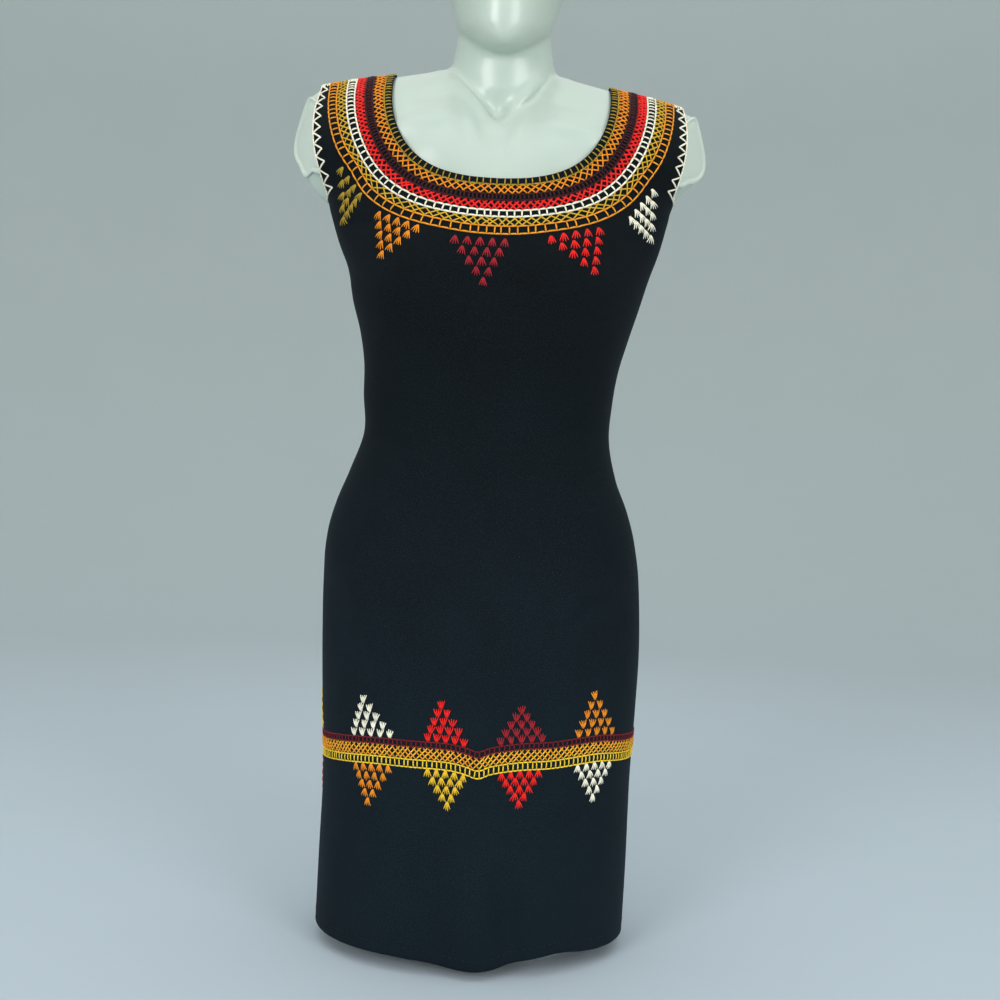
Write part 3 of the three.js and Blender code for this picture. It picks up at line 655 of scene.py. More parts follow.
def strap_places(side, hand):
    """Front-view places of a strap above its foot: the patch that its four edges span."""
    cut = PANELS[side]
    depth, corner = NECK_DEPTH[side], cut["corner"]
    u = np.linspace(0, 1, cut["strap_columns"] + 1)[None, :]
    v = 1 - (1 - np.arange(1, cut["strap_rows"] + 1)[:, None] / cut["strap_rows"]) ** 1.6
    corner_z = neck_height(AXIS_X + corner, depth)
    foot_x, foot_z = AXIS_X + hand * armhole_half(cut["beside_top"]), cut["beside_top"]
    tip_x, neck_x = AXIS_X + hand * ARMHOLE["tip"], AXIS_X + hand * NECK["half"]
    tip_z, neck_z = ridge(np.array(tip_x), BACK), ridge(np.array(neck_x), BACK)
    outer_z = mix(foot_z, tip_z, v)
    outer_x = AXIS_X + hand * armhole_half(outer_z)
    inner_z = mix(corner_z, neck_z, v)
    inner_x = AXIS_X + hand * neck_half(inner_z, depth)
    low_x, low_z = mix(foot_x, AXIS_X + hand * corner, u), mix(foot_z, corner_z, u ** 1.5)
    high_x = mix(tip_x, neck_x, u)
    high_z = ridge(high_x, BACK)
    square_x = mix(mix(foot_x, AXIS_X + hand * corner, u), mix(tip_x, neck_x, u), v)
    square_z = mix(mix(foot_z, corner_z, u), mix(tip_z, neck_z, u), v)
    x = mix(outer_x, inner_x, u) + mix(low_x, high_x, v) - square_x
    z = mix(outer_z, inner_z, u) + mix(low_z, high_z, v) - square_z
    x[-1], z[-1] = high_x[0], high_z[0]
    return x, z


def arc(points, axis):
    """Length along a grid of points in one direction, from its first line."""
    step = np.linalg.norm(np.diff(points, axis=axis), axis=-1)
    zero = np.zeros_like(np.take(step, [0], axis=axis))
    return np.concatenate([zero, np.cumsum(step, axis=axis)], axis=axis)


def panel_surface(side):
    """Outer face of a panel: its points, quads, weave places in metres, and the seam points."""
    cut = PANELS[side]
    columns, strap = cut["columns"], cut["strap_columns"]
    x, z = body_places(side)
    points = cloth_point(side, x, z)
    width = arc(points, 1)
    weave = np.stack([width - width[:, [columns // 2]], arc(points, 0)], axis=-1)
    rows = len(points)
    index = np.arange(points[..., 0].size).reshape(rows, columns + 1)
    quads = [grid_faces(rows, columns + 1)]
    seams = [index[:cut["rows_below"] + 1, 0], index[:cut["rows_below"] + 1, -1]]
    blocks, weaves, count = [points.reshape(-1, 3)], [weave.reshape(-1, 2)], points[..., 0].size
    for hand in (RIGHT, LEFT):
        sx, sz = strap_places(side, hand)
        upper = cloth_point(side, sx, sz)
        own = count + np.arange(sx.size).reshape(sx.shape)
        foot = index[-1, :strap + 1] if hand < 0 else index[-1, ::-1][:strap + 1]
        foot_points, foot_weave = blocks[0][foot], weaves[0][foot]
        rise = arc(np.concatenate([foot_points[None], upper]), 0)[1:]
        weaves.append(np.stack([foot_weave[:, 0] + upper[..., 0] - foot_points[:, 0],
                                foot_weave[:, 1] + rise], axis=-1).reshape(-1, 2))
        grid = np.concatenate([foot[None], own])
        corners = [grid[:-1, :-1], grid[:-1, 1:], grid[1:, 1:], grid[1:, :-1]]
        corners = corners[::-1] if hand > 0 else corners
        quads.append(np.stack(corners, axis=-1).reshape(-1, 4))
        seams.append(own[-1])
        blocks.append(upper.reshape(-1, 3))
        count += sx.size
    quads = np.concatenate(quads)
    if side == BACK:
        quads = quads[:, ::-1]
    return np.concatenate(blocks), quads, np.concatenate(weaves) * MM, np.concatenate(seams)


def thick_panel(name, side):
    """The panel with its wall and rounded edges.

    The inner face lies one cloth thickness behind the outer one. Along each edge a line of points
    halfway between them stands half a thickness outwards, so the turned edge is round.
    """
    outer, quads, weave, seams = panel_surface(side)
    a, b, c, d = (outer[quads[:, i]] for i in range(4))
    face_normal = np.cross(c - a, d - b)
    normal = np.zeros_like(outer)
    for i in range(4):
        np.add.at(normal, quads[:, i], face_normal)
    is_seam = np.zeros(len(outer), dtype=bool)
    is_seam[seams] = True
    normal[is_seam, 1] = 0
    normal /= np.maximum(np.linalg.norm(normal, axis=1, keepdims=True), 1e-9)
    inner = outer - CLOTH * normal

    edges = np.concatenate([quads[:, [i, (i + 1) % 4]] for i in range(4)])
    key = edges[:, 0] * len(outer) + edges[:, 1]
    border = edges[~np.isin(key, edges[:, 1] * len(outer) + edges[:, 0])]
    run = np.zeros_like(outer)
    np.add.at(run, border[:, 0], outer[border[:, 1]] - outer[border[:, 0]])
    np.add.at(run, border[:, 1], outer[border[:, 1]] - outer[border[:, 0]])
    away = np.cross(run, normal)
    away /= np.maximum(np.linalg.norm(away, axis=1, keepdims=True), 1e-9)
    rim = np.unique(border)
    bulge = np.where(is_seam[rim], 0.0, CLOTH / 2)[:, None]
    middle = (outer[rim] + inner[rim]) / 2 + away[rim] * bulge
    count = len(outer)
    rim_id = np.zeros(count, dtype=int)
    rim_id[rim] = 2 * count + np.arange(len(rim))
    start, end = border[:, 0], border[:, 1]
    band = np.concatenate([
        np.stack([start, rim_id[start], rim_id[end], end], axis=1),
        np.stack([rim_id[start], start + count, end + count, rim_id[end]], axis=1),
    ])
    faces = np.concatenate([quads, quads[:, ::-1] + count, band])
    points = np.concatenate([outer, inner, middle])
    weave = np.concatenate([weave, weave, weave[rim]])
    return build_mesh(name, points, [faces], uv=[weave[faces]])


# ---- thread ------------------------------------------------------------------------------------------


def tubes(paths, normals, radius, sides=5, flat=0.8):
    """Threads along many paths at once, and the places of their twist.

    Round each point of a path goes an oval, as wide as the thread sideways and a little less tall
    along the cloth's outward direction. The ends are narrower, where the thread enters the cloth.
    """
    count, length = paths.shape[:2]
    run = np.gradient(paths, axis=1)
    run /= np.maximum(np.linalg.norm(run, axis=-1, keepdims=True), 1e-9)
    sideways = np.cross(run, normals)
    sideways /= np.maximum(np.linalg.norm(sideways, axis=-1, keepdims=True), 1e-9)
    up = np.cross(sideways, run)
    angle = 2 * np.pi * np.arange(sides) / sides
    taper = np.ones(length)
    taper[[0, -1]] = 0.75
    size = (np.broadcast_to(radius, (count,))[:, None] * taper)[:, :, None, None]
    ring = np.cos(angle)[:, None] * sideways[:, :, None] + flat * np.sin(angle)[:, None] * up[:, :, None]
    points = (paths[:, :, None] + size * ring).reshape(-1, 3)

    base = np.arange(count)[:, None, None] * length * sides
    step = np.arange(length - 1)[None, :, None] * sides
    around = np.arange(sides)
    after = (around + 1) % sides
    quads = np.stack([base + step + around, base + step + sides + around,
                      base + step + sides + after, base + step + after], axis=-1).reshape(-1, 4)
    first = (base[:, 0] + around)
    last = (base[:, 0] + (length - 1) * sides + around[::-1])
    ends = np.concatenate([first, last])

    travel = arc(paths, 1) * MM
    low, high = travel[:, :-1, None], travel[:, 1:, None]
    turn, turn_after = around / sides, (around + 1) / sides
    zero = np.zeros_like(low + turn)
    uv = np.stack([np.stack([low + zero, turn + zero], -1), np.stack([high + zero, turn + zero], -1),
                   np.stack([high + zero, turn_after + zero], -1),
                   np.stack([low + zero, turn_after + zero], -1)], axis=-2).reshape(-1, 4, 2)
    return points, quads, ends, uv


def lay(place, ends, radius, points=4, lift=0.55, arch=0.3, dip=0.9, waver=0.0, rng=None):
    """Stitches between pairs of places of the cloth.

    Each one is straight in the cloth's own two directions. It rises lift plus arch times
    sin(pi t) of its radius above the cloth, and its two ends sink in by dip of its radius.
    """
    ends = np.asarray(ends, dtype=float)
    t = np.linspace(0, 1, points)
    track = ends[:, None, 0] + (ends[:, None, 1] - ends[:, None, 0]) * t[None, :, None]
    if waver:
        track = track + waver * rng.standard_normal((len(ends), 1, 2)) * np.sin(np.pi * t)[None, :, None]
    at, normal = place(track[..., 0], track[..., 1])
    height = lift + arch * np.sin(np.pi * t)
    height[[0, -1]] = lift - dip
    radius = np.broadcast_to(radius, (len(ends),))
    return at + normal * (height[None, :] * radius[:, None])[..., None], normal


def sew(name, batches):
    """One mesh from batches of stitches: (colour, paths, normals, radius)."""
    colours = sorted({batch[0] for batch in batches})
    points, quads, ends, uvs, ids, end_ids, count = [], [], [], [], [], [], 0
    for colour, paths, normals, radius in batches:
        part, part_quads, part_ends, part_uv = tubes(paths, normals, radius)
        points.append(part)
        quads.append(part_quads + count)
        ends.append(part_ends + count)
        uvs.append(part_uv)
        ids.append(np.full(len(part_quads), colours.index(colour)))
        end_ids.append(np.full(len(part_ends), colours.index(colour)))
        count += len(part)
    quads, ends = np.concatenate(quads), np.concatenate(ends)
    obj = build_mesh(name, np.concatenate(points), [quads, ends], np.concatenate(ids + end_ids),
                     [np.concatenate(uvs), np.zeros((*ends.shape, 2))], "twist")
    return finish_piece(obj, [floss_material(colour) for colour in colours])


def spaced(start, end, pitch, rng, unevenness=0.12):
    """Places from start to end about a pitch apart, each moved a little, as a hand sews them."""
    count = max(2, int(round((end - start) / pitch)))
    places = np.linspace(start, end, count + 1)
    places[1:-1] += unevenness * pitch * rng.uniform(-1, 1, count - 1)
    return places


def ladder(place, low, high, places, colour, radius, rng, rails=(True, True)):
    """A row of rungs between two rails. low and high give the two edges at a place along the row."""
    shift = 0.06 * (places[1] - places[0]) * rng.standard_normal(len(places))
    bottom, top = low(places), high(places + shift)
    batches = [(colour, *lay(place, np.stack([bottom, top], axis=1), radius), radius)]
    for wanted, edge in zip(rails, (low, high)):
        if wanted:
            line = edge(places)
            pairs = np.stack([line[:-1], line[1:]], axis=1)
            batches.append((colour, *lay(place, pairs, radius * 1.1, dip=0.5, arch=0.15), radius * 1.1))
    return batches


def lattice(place, low, high, places, colours, radius, rng, reach=1.5):
    """A closed herringbone: each stitch crosses the row while it runs on by reach pitches."""
    number = np.arange(len(places))
    batches = []
    for colour, offset, swap in ((colours[0], 0.0, False), (colours[1], 0.25, True)):
        start = number[number + offset + reach <= number[-1]] + offset
        ragged = 0.1 * rng.standard_normal((2, len(start)))
        first = np.interp(start + ragged[0], number, places)
        last = np.interp(start + reach + ragged[1], number, places)
        pairs = np.stack([high(first), low(last)] if swap else [low(first), high(last)], axis=1)
        over = 0.9 if swap else 0.35
        batches.append((colour, *lay(place, pairs, radius, points=5, lift=over), radius))
    return batches


def tufts(place, centres, lean, way, colour, rng, wide=3.9, tall=8.4, radius=0.68):
    """Small fans of four stitches that spread from one point. way is -1 down and +1 up."""
    lean = np.radians(np.broadcast_to(lean, (len(centres),)) + 4 * rng.standard_normal(len(centres)))
    axis = np.stack([-np.sin(lean), way * np.cos(lean)], axis=-1)
    across = np.stack([axis[:, 1], -axis[:, 0]], axis=-1)
    number = 4
    spread = np.linspace(-1, 1, number)[None, :, None]
    size = 1 + 0.08 * rng.standard_normal((len(centres), 1, 1))
    apex = centres[:, None] - axis[:, None] * tall * 0.5 + across[:, None] * spread * 0.55
    length = 1 - 0.06 * spread ** 2 + 0.05 * rng.standard_normal((len(centres), number, 1))
    tip = centres[:, None] + axis[:, None] * tall * (length - 0.5) + across[:, None] * spread * wide * size
    pairs = np.stack([apex, tip], axis=2).reshape(-1, 2, 2)
    return [(colour, *lay(place, pairs, radius, lift=0.5, arch=0.35, dip=0.8), radius)]


def triangle(first, last, tip, counts):
    """Centres of a triangle's tufts: each row is a step nearer to the tip and one tuft shorter."""
    first, last, tip = (np.array(point, dtype=float) for point in (first, last, tip))
    rows = []
    for row, count in enumerate(counts):
        t = row / (len(counts) - 1)
        start, end = first + (tip - first) * t, last + (tip - last) * t
        across = np.linspace(0, 1, count)[:, None] if count > 1 else np.array([[0.5]])
        rows.append(start + (end - start) * across)
    return np.concatenate(rows), np.repeat(np.arange(len(counts)) / (len(counts) - 1), counts)


# ---- where the neck rows run ---------------------------------------------------------------------------


def neck_edge(side, fine=6001, even_points=1201, ease=41):
    """The neck edge as many points: length from the middle, place and outward direction.

    The directions are averaged over a run of "ease" points, so the rows turn their corners softly.
    """
    angle = np.linspace(-np.pi / 2, np.pi / 2, fine)
    power = 2 / NECK["power"]
    x = AXIS_X + NECK["half"] * np.sign(angle) * np.abs(np.sin(angle)) ** power
    z = NECK["top"] - NECK_DEPTH[side] * np.abs(np.cos(angle)) ** power
    line = np.stack([x, z], axis=-1)
    travel = arc(line, 0)
    travel -= travel[len(travel) // 2]
    even = np.linspace(travel[0], travel[-1], even_points)
    line = np.stack([np.interp(even, travel, line[:, i]) for i in range(2)], axis=-1)
    run = np.gradient(line, axis=0)
    out = np.stack([run[:, 1], -run[:, 0]], axis=-1)
    kernel = np.ones(ease) / ease
    padded = np.pad(out, ((ease // 2, ease // 2), (0, 0)), mode="edge")
    out = np.stack([np.convolve(padded[:, i], kernel, "valid") for i in range(2)], axis=-1)
    return even, line, out / np.linalg.norm(out, axis=-1, keepdims=True)


def neck_offset(side):
    """A function from length along the neck edge and row edge number to a place of the front view.

    Each row edge keeps its own distance from the neck edge, growing from the middle to the shoulder.
    """
    travel, line, out = neck_edge(side)
    last = travel[-1]

    def at(where, edge):
        """The place at a length along the neck edge, on one row edge."""
        grow = np.clip((np.abs(where) - 0.2 * last) / (0.8 * last), 0, 1)
        low = int(edge)
        near, far = NECK_ROW_EDGES[low]
        distance = near + (far - near) * grow
        if side == FRONT and edge >= NECK_PINCH["from_edge"]:
            corner, wide = NECK_PINCH["at"] * last, NECK_PINCH["wide"]
            pinch = np.exp(-(((where + corner) / wide) ** 2))
            pinch = pinch + NECK_PINCH["left"] * np.exp(-(((where - corner) / wide) ** 2))
            distance = distance - NECK_PINCH["depth"] * pinch
        point = np.stack([np.interp(where, travel, line[:, i]) for i in range(2)], axis=-1)
        away = np.stack([np.interp(where, travel, out[:, i]) for i in range(2)], axis=-1)
        return point + away * distance[..., None]

    return at, last


def neck_reach(side, at, last, edge):
    """The two lengths between which a row edge stays below the shoulder seam."""
    where = np.linspace(-last, last, 2401)
    place = at(where, edge)
    inside = np.flatnonzero(place[:, 1] < ridge(place[:, 0], side) - 1.2)
    return where[inside[0]], where[inside[-1]]


def neck_rows(side, rng):
    """All rows of the neck band on one side."""
    at, last = neck_offset(side)
    place = partial(cloth_place, side)
    batches = []
    for kind, colour, low, high, pitch, radius in NECK_ROWS:
        start, end = neck_reach(side, at, last, high)
        # Stitches lie closer together towards the shoulders.
        even = spaced(start, end, pitch * 0.86, rng)
        share = even / last
        places = even + 0.09 * last * np.sin(np.pi * np.clip(share, -1, 1))
        places = np.clip(places * (end - start) / (places[-1] - places[0]), start, end)
        lower, upper = partial(at, edge=low), partial(at, edge=high)
        if kind == "ladder":
            batches += ladder(place, lower, upper, places, colour, radius, rng, rails=(low > 0, True))
        else:
            batches += lattice(place, lower, upper, places, (colour, colour), radius, rng)
    return batches


# ---- where the skirt band runs ---------------------------------------------------------------------------


def ring_table():
    """Length round the skirt at the band's height against the turn round it, in radians.

    The turn starts at the wearer's right side seam and goes across the front first.
    """
    turn = np.linspace(0, 2 * np.pi, 4001)
    point, _ = ring_place(turn, np.full_like(turn, SKIRT_RING["z"]))
    return turn, arc(point, 0)


def ring_place(turn, z):
    """Point and outward direction on the skirt at a turn round it and a height."""
    turn = np.mod(turn, 2 * np.pi)
    x = along(SECTIONS, MID, z) - along(SECTIONS, HALF, z) * NEAR_SEAM * np.cos(turn)
    front, back = cloth_place(FRONT, x, z), cloth_place(BACK, x, z)
    is_front = (turn < np.pi)[..., None]
    return np.where(is_front, front[0], back[0]), np.where(is_front, front[1], back[1])


def band_top(turn):
    """Height of the band's upper edge at a turn round the skirt."""
    turn = np.mod(turn, 2 * np.pi)
    x = SKIRT_RING["mid"] - SKIRT_RING["half"] * np.cos(turn)
    return np.where(turn < np.pi, along(BAND_TOP[FRONT], 1, x), along(BAND_TOP[BACK], 1, x))


# ---- materials -------------------------------------------------------------------------------------------


def cloth_material(sizes, colours):
    """Dyed cotton, plain weave: matt and almost black, with a faint bluish bloom on its threads.

    The warp and weft are drawn 1.3 mm apart, coarser than the real 0.5 mm, so that they show.
    """
    material, tree, shader = new_material("dyed_cotton_plain_weave")
    weave = add_node(tree, "ShaderNodeUVMap", uv_map="weave").outputs["UV"]
    place = object_place(tree)
    # Slubs: the threads drift sideways by a fraction of their width.
    drift = noise(tree, weave, 90.0, 2.0, output="Color")
    moved = add_node(tree, "ShaderNodeVectorMath", {0: drift, 1: (0.0011, 0.0011, 0.0)},
                     operation="MULTIPLY")
    warped = add_node(tree, "ShaderNodeVectorMath", {0: weave, 1: moved.outputs["Vector"]})
    parts = add_node(tree, "ShaderNodeSeparateXYZ", {"Vector": warped.outputs["Vector"]})
    warp, weft = (
        maths(tree, "SINE", maths(tree, "MULTIPLY", parts.outputs[axis], math.pi / sizes.weave_pitch))
        for axis in ("X", "Y"))
    slub = noise(tree, weave, 420.0, 3.0)
    height = maths(tree, "ADD", maths(tree, "MULTIPLY", warp, weft), slub)

    # The dye is a little uneven over a hand's width, and the colour turns lighter and bluer
    # towards the hem.
    cloud = noise(tree, place, 9.0, 4.0, Roughness=0.6)
    spot = add_node(tree, "ShaderNodeSeparateXYZ", {"Vector": place})
    towards_hem = remap(tree, spot.outputs["Z"], 0.62, 0.2, 0.0, 0.8)
    share = maths(tree, "ADD", towards_hem, remap(tree, cloud, 0.3, 0.7, 0.0, 0.3))
    dye = blend(tree, share, colours.cloth_deep, colours.cloth)
    # The base colour is scaled by the weave's height: the tops of the threads get a painted highlight and the
    # hollows between them painted shade.
    set_surface(tree, shader,
                Base_Color=scaled(tree, dye, remap(tree, height, -0.6, 1.6, 0.82, 1.25)),
                Roughness=remap(tree, slub, 0.3, 0.7, 0.78, 0.94),
                Normal=bump(tree, height, 0.5, 0.00022),
                Specular_IOR_Level=0.12, Sheen_Weight=0.05, Sheen_Roughness=0.45,
                Sheen_Tint=linear("#8FA6B8"))
    return material


def floss_material(colour):
    """Stranded embroidery cotton, mercerised: bright, with a soft shine on its slanting strands."""
    name = f"embroidery_cotton_{colour}"
    if name in bpy.data.materials:
        return bpy.data.materials[name]
    material, tree, shader = new_material(name)
    twist = add_node(tree, "ShaderNodeUVMap", uv_map="twist")
    parts = add_node(tree, "ShaderNodeSeparateXYZ", {"Vector": twist.outputs["UV"]})
    # One turn of the strands every 2.6 mm, two strands to a turn.
    run = maths(tree, "MULTIPLY", parts.outputs["X"], 2 * math.pi * 2 / 0.0026)
    around = maths(tree, "MULTIPLY", parts.outputs["Y"], 4 * math.pi)
    strands = maths(tree, "SINE", maths(tree, "ADD", run, around))
    patchy = remap(tree, noise(tree, object_place(tree), 160.0, 2.0), 0.3, 0.7, 0.84, 1.12)
    # The strands' crests are painted a little lighter and the grooves between them darker, as painted shade;
    # the patches are the floss's own uneven tone.
    light = maths(tree, "ADD", patchy, maths(tree, "MULTIPLY", strands, 0.07))
    set_surface(tree, shader, Base_Color=scaled(tree, linear(FLOSS[colour])[:3], light),
                Normal=bump(tree, strands, 0.55, 0.00025), Roughness=0.55,
                Specular_IOR_Level=0.24, Sheen_Weight=0.04)
    return material


def shell_material(name, colour, warm):
    """Moulded fibreglass with a gloss finish: pale, faintly green, soft highlights, slight ripples."""
    material, tree, shader = new_material(name)
    place = object_place(tree)
    # Hand polishing leaves it a little duller in places.
    polish = noise(tree, place, 22.0, 4.0)
    set_surface(tree, shader,
                Base_Color=blend(tree, noise(tree, place, 5.0, 3.0), colour, warm),
                Roughness=remap(tree, polish, 0.3, 0.7, 0.3, 0.4),
                Normal=bump(tree, noise(tree, place, 30.0, 1.0), 0.12, 0.0006),
                IOR=1.5, Coat_Weight=0.15, Coat_Roughness=0.16)
    return material


def steel_material():
    """Turned and brushed steel: satin grey, with fine rings from the lathe."""
    material, tree, shader = new_material("brushed_turned_steel")
    stretch = add_node(tree, "ShaderNodeMapping",
                       {"Vector": object_place(tree), "Scale": (60.0, 60.0, 2600.0)})
    rings = noise(tree, stretch.outputs["Vector"], 1.0, 3.0)
    set_surface(tree, shader, Base_Color=linear("#B9BCBD"), Metallic=1.0,
                Roughness=remap(tree, rings, 0.3, 0.7, 0.24, 0.4),
                Normal=bump(tree, rings, 0.2, 0.0001))
    return material


def enamel_material():
    """Stoved enamel on a steel plate: off-white, with the fine orange peel of sprayed paint."""
    material, tree, shader = new_material("stoved_enamel_on_steel")
    place = object_place(tree)
    scuff = noise(tree, place, 14.0, 6.0)
    set_surface(tree, shader,
                Base_Color=ramp(tree, scuff, [(0.35, "#D9DBD6"), (0.6, "#E8EAE6")]),
                Normal=bump(tree, noise(tree, place, 650.0, 1.0), 0.2, 0.0001), Roughness=0.38)
    return material


def paper_material(colours):
    """Seamless studio paper, matt: pale underfoot and painted darker and greyer towards the back, as painted
    shade.
    """
    material, tree, shader = new_material("matt_studio_paper")
    place = object_place(tree)
    distance = add_node(tree, "ShaderNodeVectorMath", {0: place}, operation="LENGTH")
    # Painted shade: the paper's colour is blended darker with distance from the middle.
    away = remap(tree, distance.outputs["Value"], 0.2, 5.0)
    painted_falloff = blend(tree, away, colours.paper, colours.paper_far_painted_shade)
    shade = remap(tree, noise(tree, place, 3.0, 2.0), 0.0, 1.0, 0.985, 1.015)
    set_surface(tree, shader, Base_Color=scaled(tree, painted_falloff, shade), Roughness=0.9,
                Specular_IOR_Level=0.1)
    return material


# ---- settings --------------------------------------------------------------------------------------------


def size_property(text, millimetres):
    """A length that a user may change, with its default from millimetres."""
    return FloatProperty(name=text, description=text, default=millimetres * MM, unit="LENGTH", precision=5)


def colour_property(text, code):
    """A colour that a user may change, with its default from an sRGB hex value."""
    return FloatVectorProperty(name=text, description=text, default=linear(code)[:3], subtype="COLOR",
                               min=0, max=1)


def light_property(name, text, strength):
    """The strength of a light, which a user may change."""
    return FloatProperty(name=name, description=text, default=strength, min=0)


class DressSizes(bpy.types.PropertyGroup):
    """Sizes of the cloth and the needlework."""
    weave_pitch: size_property("Distance between two threads of the weave as drawn", 1.3)
    hem_stitch: size_property("Distance between two stitches of the hem", 6.0)
    zigzag_pitch: size_property("Distance between two points of the armhole zigzag", 12.6)
    zigzag_reach: size_property("How far the armhole zigzag reaches into the cloth", 8.6)
    form_voxel: size_property("Fineness of the moulded form", 3.2)
    seed: IntProperty(name="Seed", description="Seed of the unevenness of the hand sewing",
                      default=7, min=0)


class DressColours(bpy.types.PropertyGroup):
    """Colours of the cloth, the form and the stage."""
    # The skirt's colour is the lighter, bluer one that the cloth turns to towards the hem.
    cloth: colour_property("Dyed cloth of the skirt, a little faded", "#0E1A21")
    cloth_deep: colour_property("Dyed cloth of the bodice, the deepest", "#050A0D")
    shell: colour_property("Moulded form", "#B9C8BE")
    shell_warm: colour_property("Moulded form where it has yellowed a little", "#BFC9BC")
    cover: colour_property("Covers of the arm stumps", "#DCE6DA")
    paper: colour_property("Studio paper near the dress", "#C0CCD5")
    # The paper far from the dress is painted darker and greyer, as painted shade.
    paper_far_painted_shade: colour_property("Studio paper behind the dress", "#B3BCBB")


class DressStage(bpy.types.PropertyGroup):
    """Camera and lights."""
    distance: size_property("Distance of the camera from the dress", 1250.0)
    eye_height: size_property("Height of the camera above the floor", 459.0)
    sideways: size_property("Camera's place to the side of the middle", 16.5)
    lens: FloatProperty(name="Lens", description="Focal length in millimetres on a 36 mm wide sensor",
                        default=42.44, min=10)
    roll: FloatProperty(name="Roll", description="Lean of the camera", default=math.radians(2.2),
                        unit="ROTATION")
    key: light_property("Key light", "Power of the large front light in watts", 37.0)
    fill: light_property("Fill light", "Power of the second front light in watts", 33.0)
    sky: light_property("Ceiling light", "Strength of the wide light from above", 0.05)
    air: light_property("Room light", "Strength of the light from all round", 1.66)


# ---- operators --------------------------------------------------------------------------------------------


# Name, place and size of each front light in metres. Its power is a setting. Both point at the target.
FRONT_LIGHTS = [
    ("key_light", (-1.5, -2.5, 1.25), 1.1, "key"),
    ("fill_light", (1.7, -2.4, 1.15), 1.3, "fill"),
]
LIGHT_TARGET = (0.0, 0.0, 0.85)
SKY_WAY = (0.25, 1.0, -1.3)

# The studio paper is a dish: flat under the dress, and turned up all round in a quarter circle.
PAPER = {"hole": 60.0, "flat": 2600.0, "bend": 2400.0, "wall": 4600.0, "rings": 16, "bend_rings": 25,
         "sides": 96}


def facing(way):
    """The turn of a camera or light that looks along a direction."""
    return Vector(way).to_track_quat("-Z", "Y").to_euler()


def add_paper(colours):
    """The paper under and behind the dress."""
    quarter = np.linspace(0, np.pi / 2, PAPER["bend_rings"])[1:]
    bend, sides = PAPER["bend"], PAPER["sides"]
    radius = np.concatenate([np.linspace(PAPER["hole"], PAPER["flat"], PAPER["rings"]),
                             PAPER["flat"] + bend * np.sin(quarter), [PAPER["flat"] + bend]])
    height = np.concatenate([np.zeros(PAPER["rings"]), bend * (1 - np.cos(quarter)), [PAPER["wall"]]])
    turn = 2 * np.pi * np.arange(sides) / sides
    points = np.stack([radius[:, None] * np.cos(turn), radius[:, None] * np.sin(turn),
                       height[:, None] + 0 * turn], axis=-1).reshape(-1, 3)
    walls = grid_faces(len(radius), sides, closed=True)[:, ::-1]
    paper = build_mesh("studio_paper", points, [walls, np.arange(sides)[None, :]])
    paper.data.materials.append(paper_material(colours))


def add_camera(scene, stage):
    """The camera, straight in front of the dress and level, with a slight lean."""
    data = bpy.data.cameras.new("camera")
    data.lens, data.sensor_width, data.sensor_fit = stage.lens, 36.0, "HORIZONTAL"
    data.clip_end = 50.0
    camera = link("camera", data)
    camera.location = (stage.sideways, -stage.distance, stage.eye_height)
    camera.rotation_euler = (math.pi / 2, -stage.roll, 0)
    scene.camera = camera


def add_lights(stage):
    """Two square soft lights in front, and a faint wide one from above."""
    for name, place, size, setting in FRONT_LIGHTS:
        data = bpy.data.lights.new(name, "AREA")
        data.size, data.energy = size, getattr(stage, setting)
        light = link(name, data)
        light.location = place
        light.rotation_euler = facing(Vector(LIGHT_TARGET) - Vector(place))
    sun = bpy.data.lights.new("sky_light", "SUN")
    sun.energy, sun.angle = stage.sky, math.radians(70)
    link("sky_light", sun).rotation_euler = facing(SKY_WAY)


def add_room(scene, stage):
    """The light from all round: bright round the walls, and darker from the ceiling."""
    world = bpy.data.worlds.new("studio_air")
    world.use_nodes = True
    tree = world.node_tree
    background = tree.nodes["Background"]
    background.inputs["Strength"].default_value = stage.air
    way = add_node(tree, "ShaderNodeTexCoord")
    parts = add_node(tree, "ShaderNodeSeparateXYZ", {"Vector": way.outputs["Generated"]})
    height = remap(tree, parts.outputs["Z"], 0.15, 1.0)
    tree.links.new(ramp(tree, height, [(0.0, "#F4F6F6"), (1.0, "#C3C6C6")]), background.inputs["Color"])
    scene.world = world


class DRESS_OT_stage(bpy.types.Operator):
    """Builds the studio paper, the camera and the lights."""
    bl_idname = "dress.stage"
    bl_label = "Stage"

    def execute(self, context):
        scene = context.scene
        add_paper(scene.dress_colours)
        add_camera(scene, scene.dress_stage)
        add_lights(scene.dress_stage)
        add_room(scene, scene.dress_stage)
        # The colours are shown as they are, with no film curve over them.
        scene.view_settings.view_transform = "Standard"
        return {"FINISHED"}


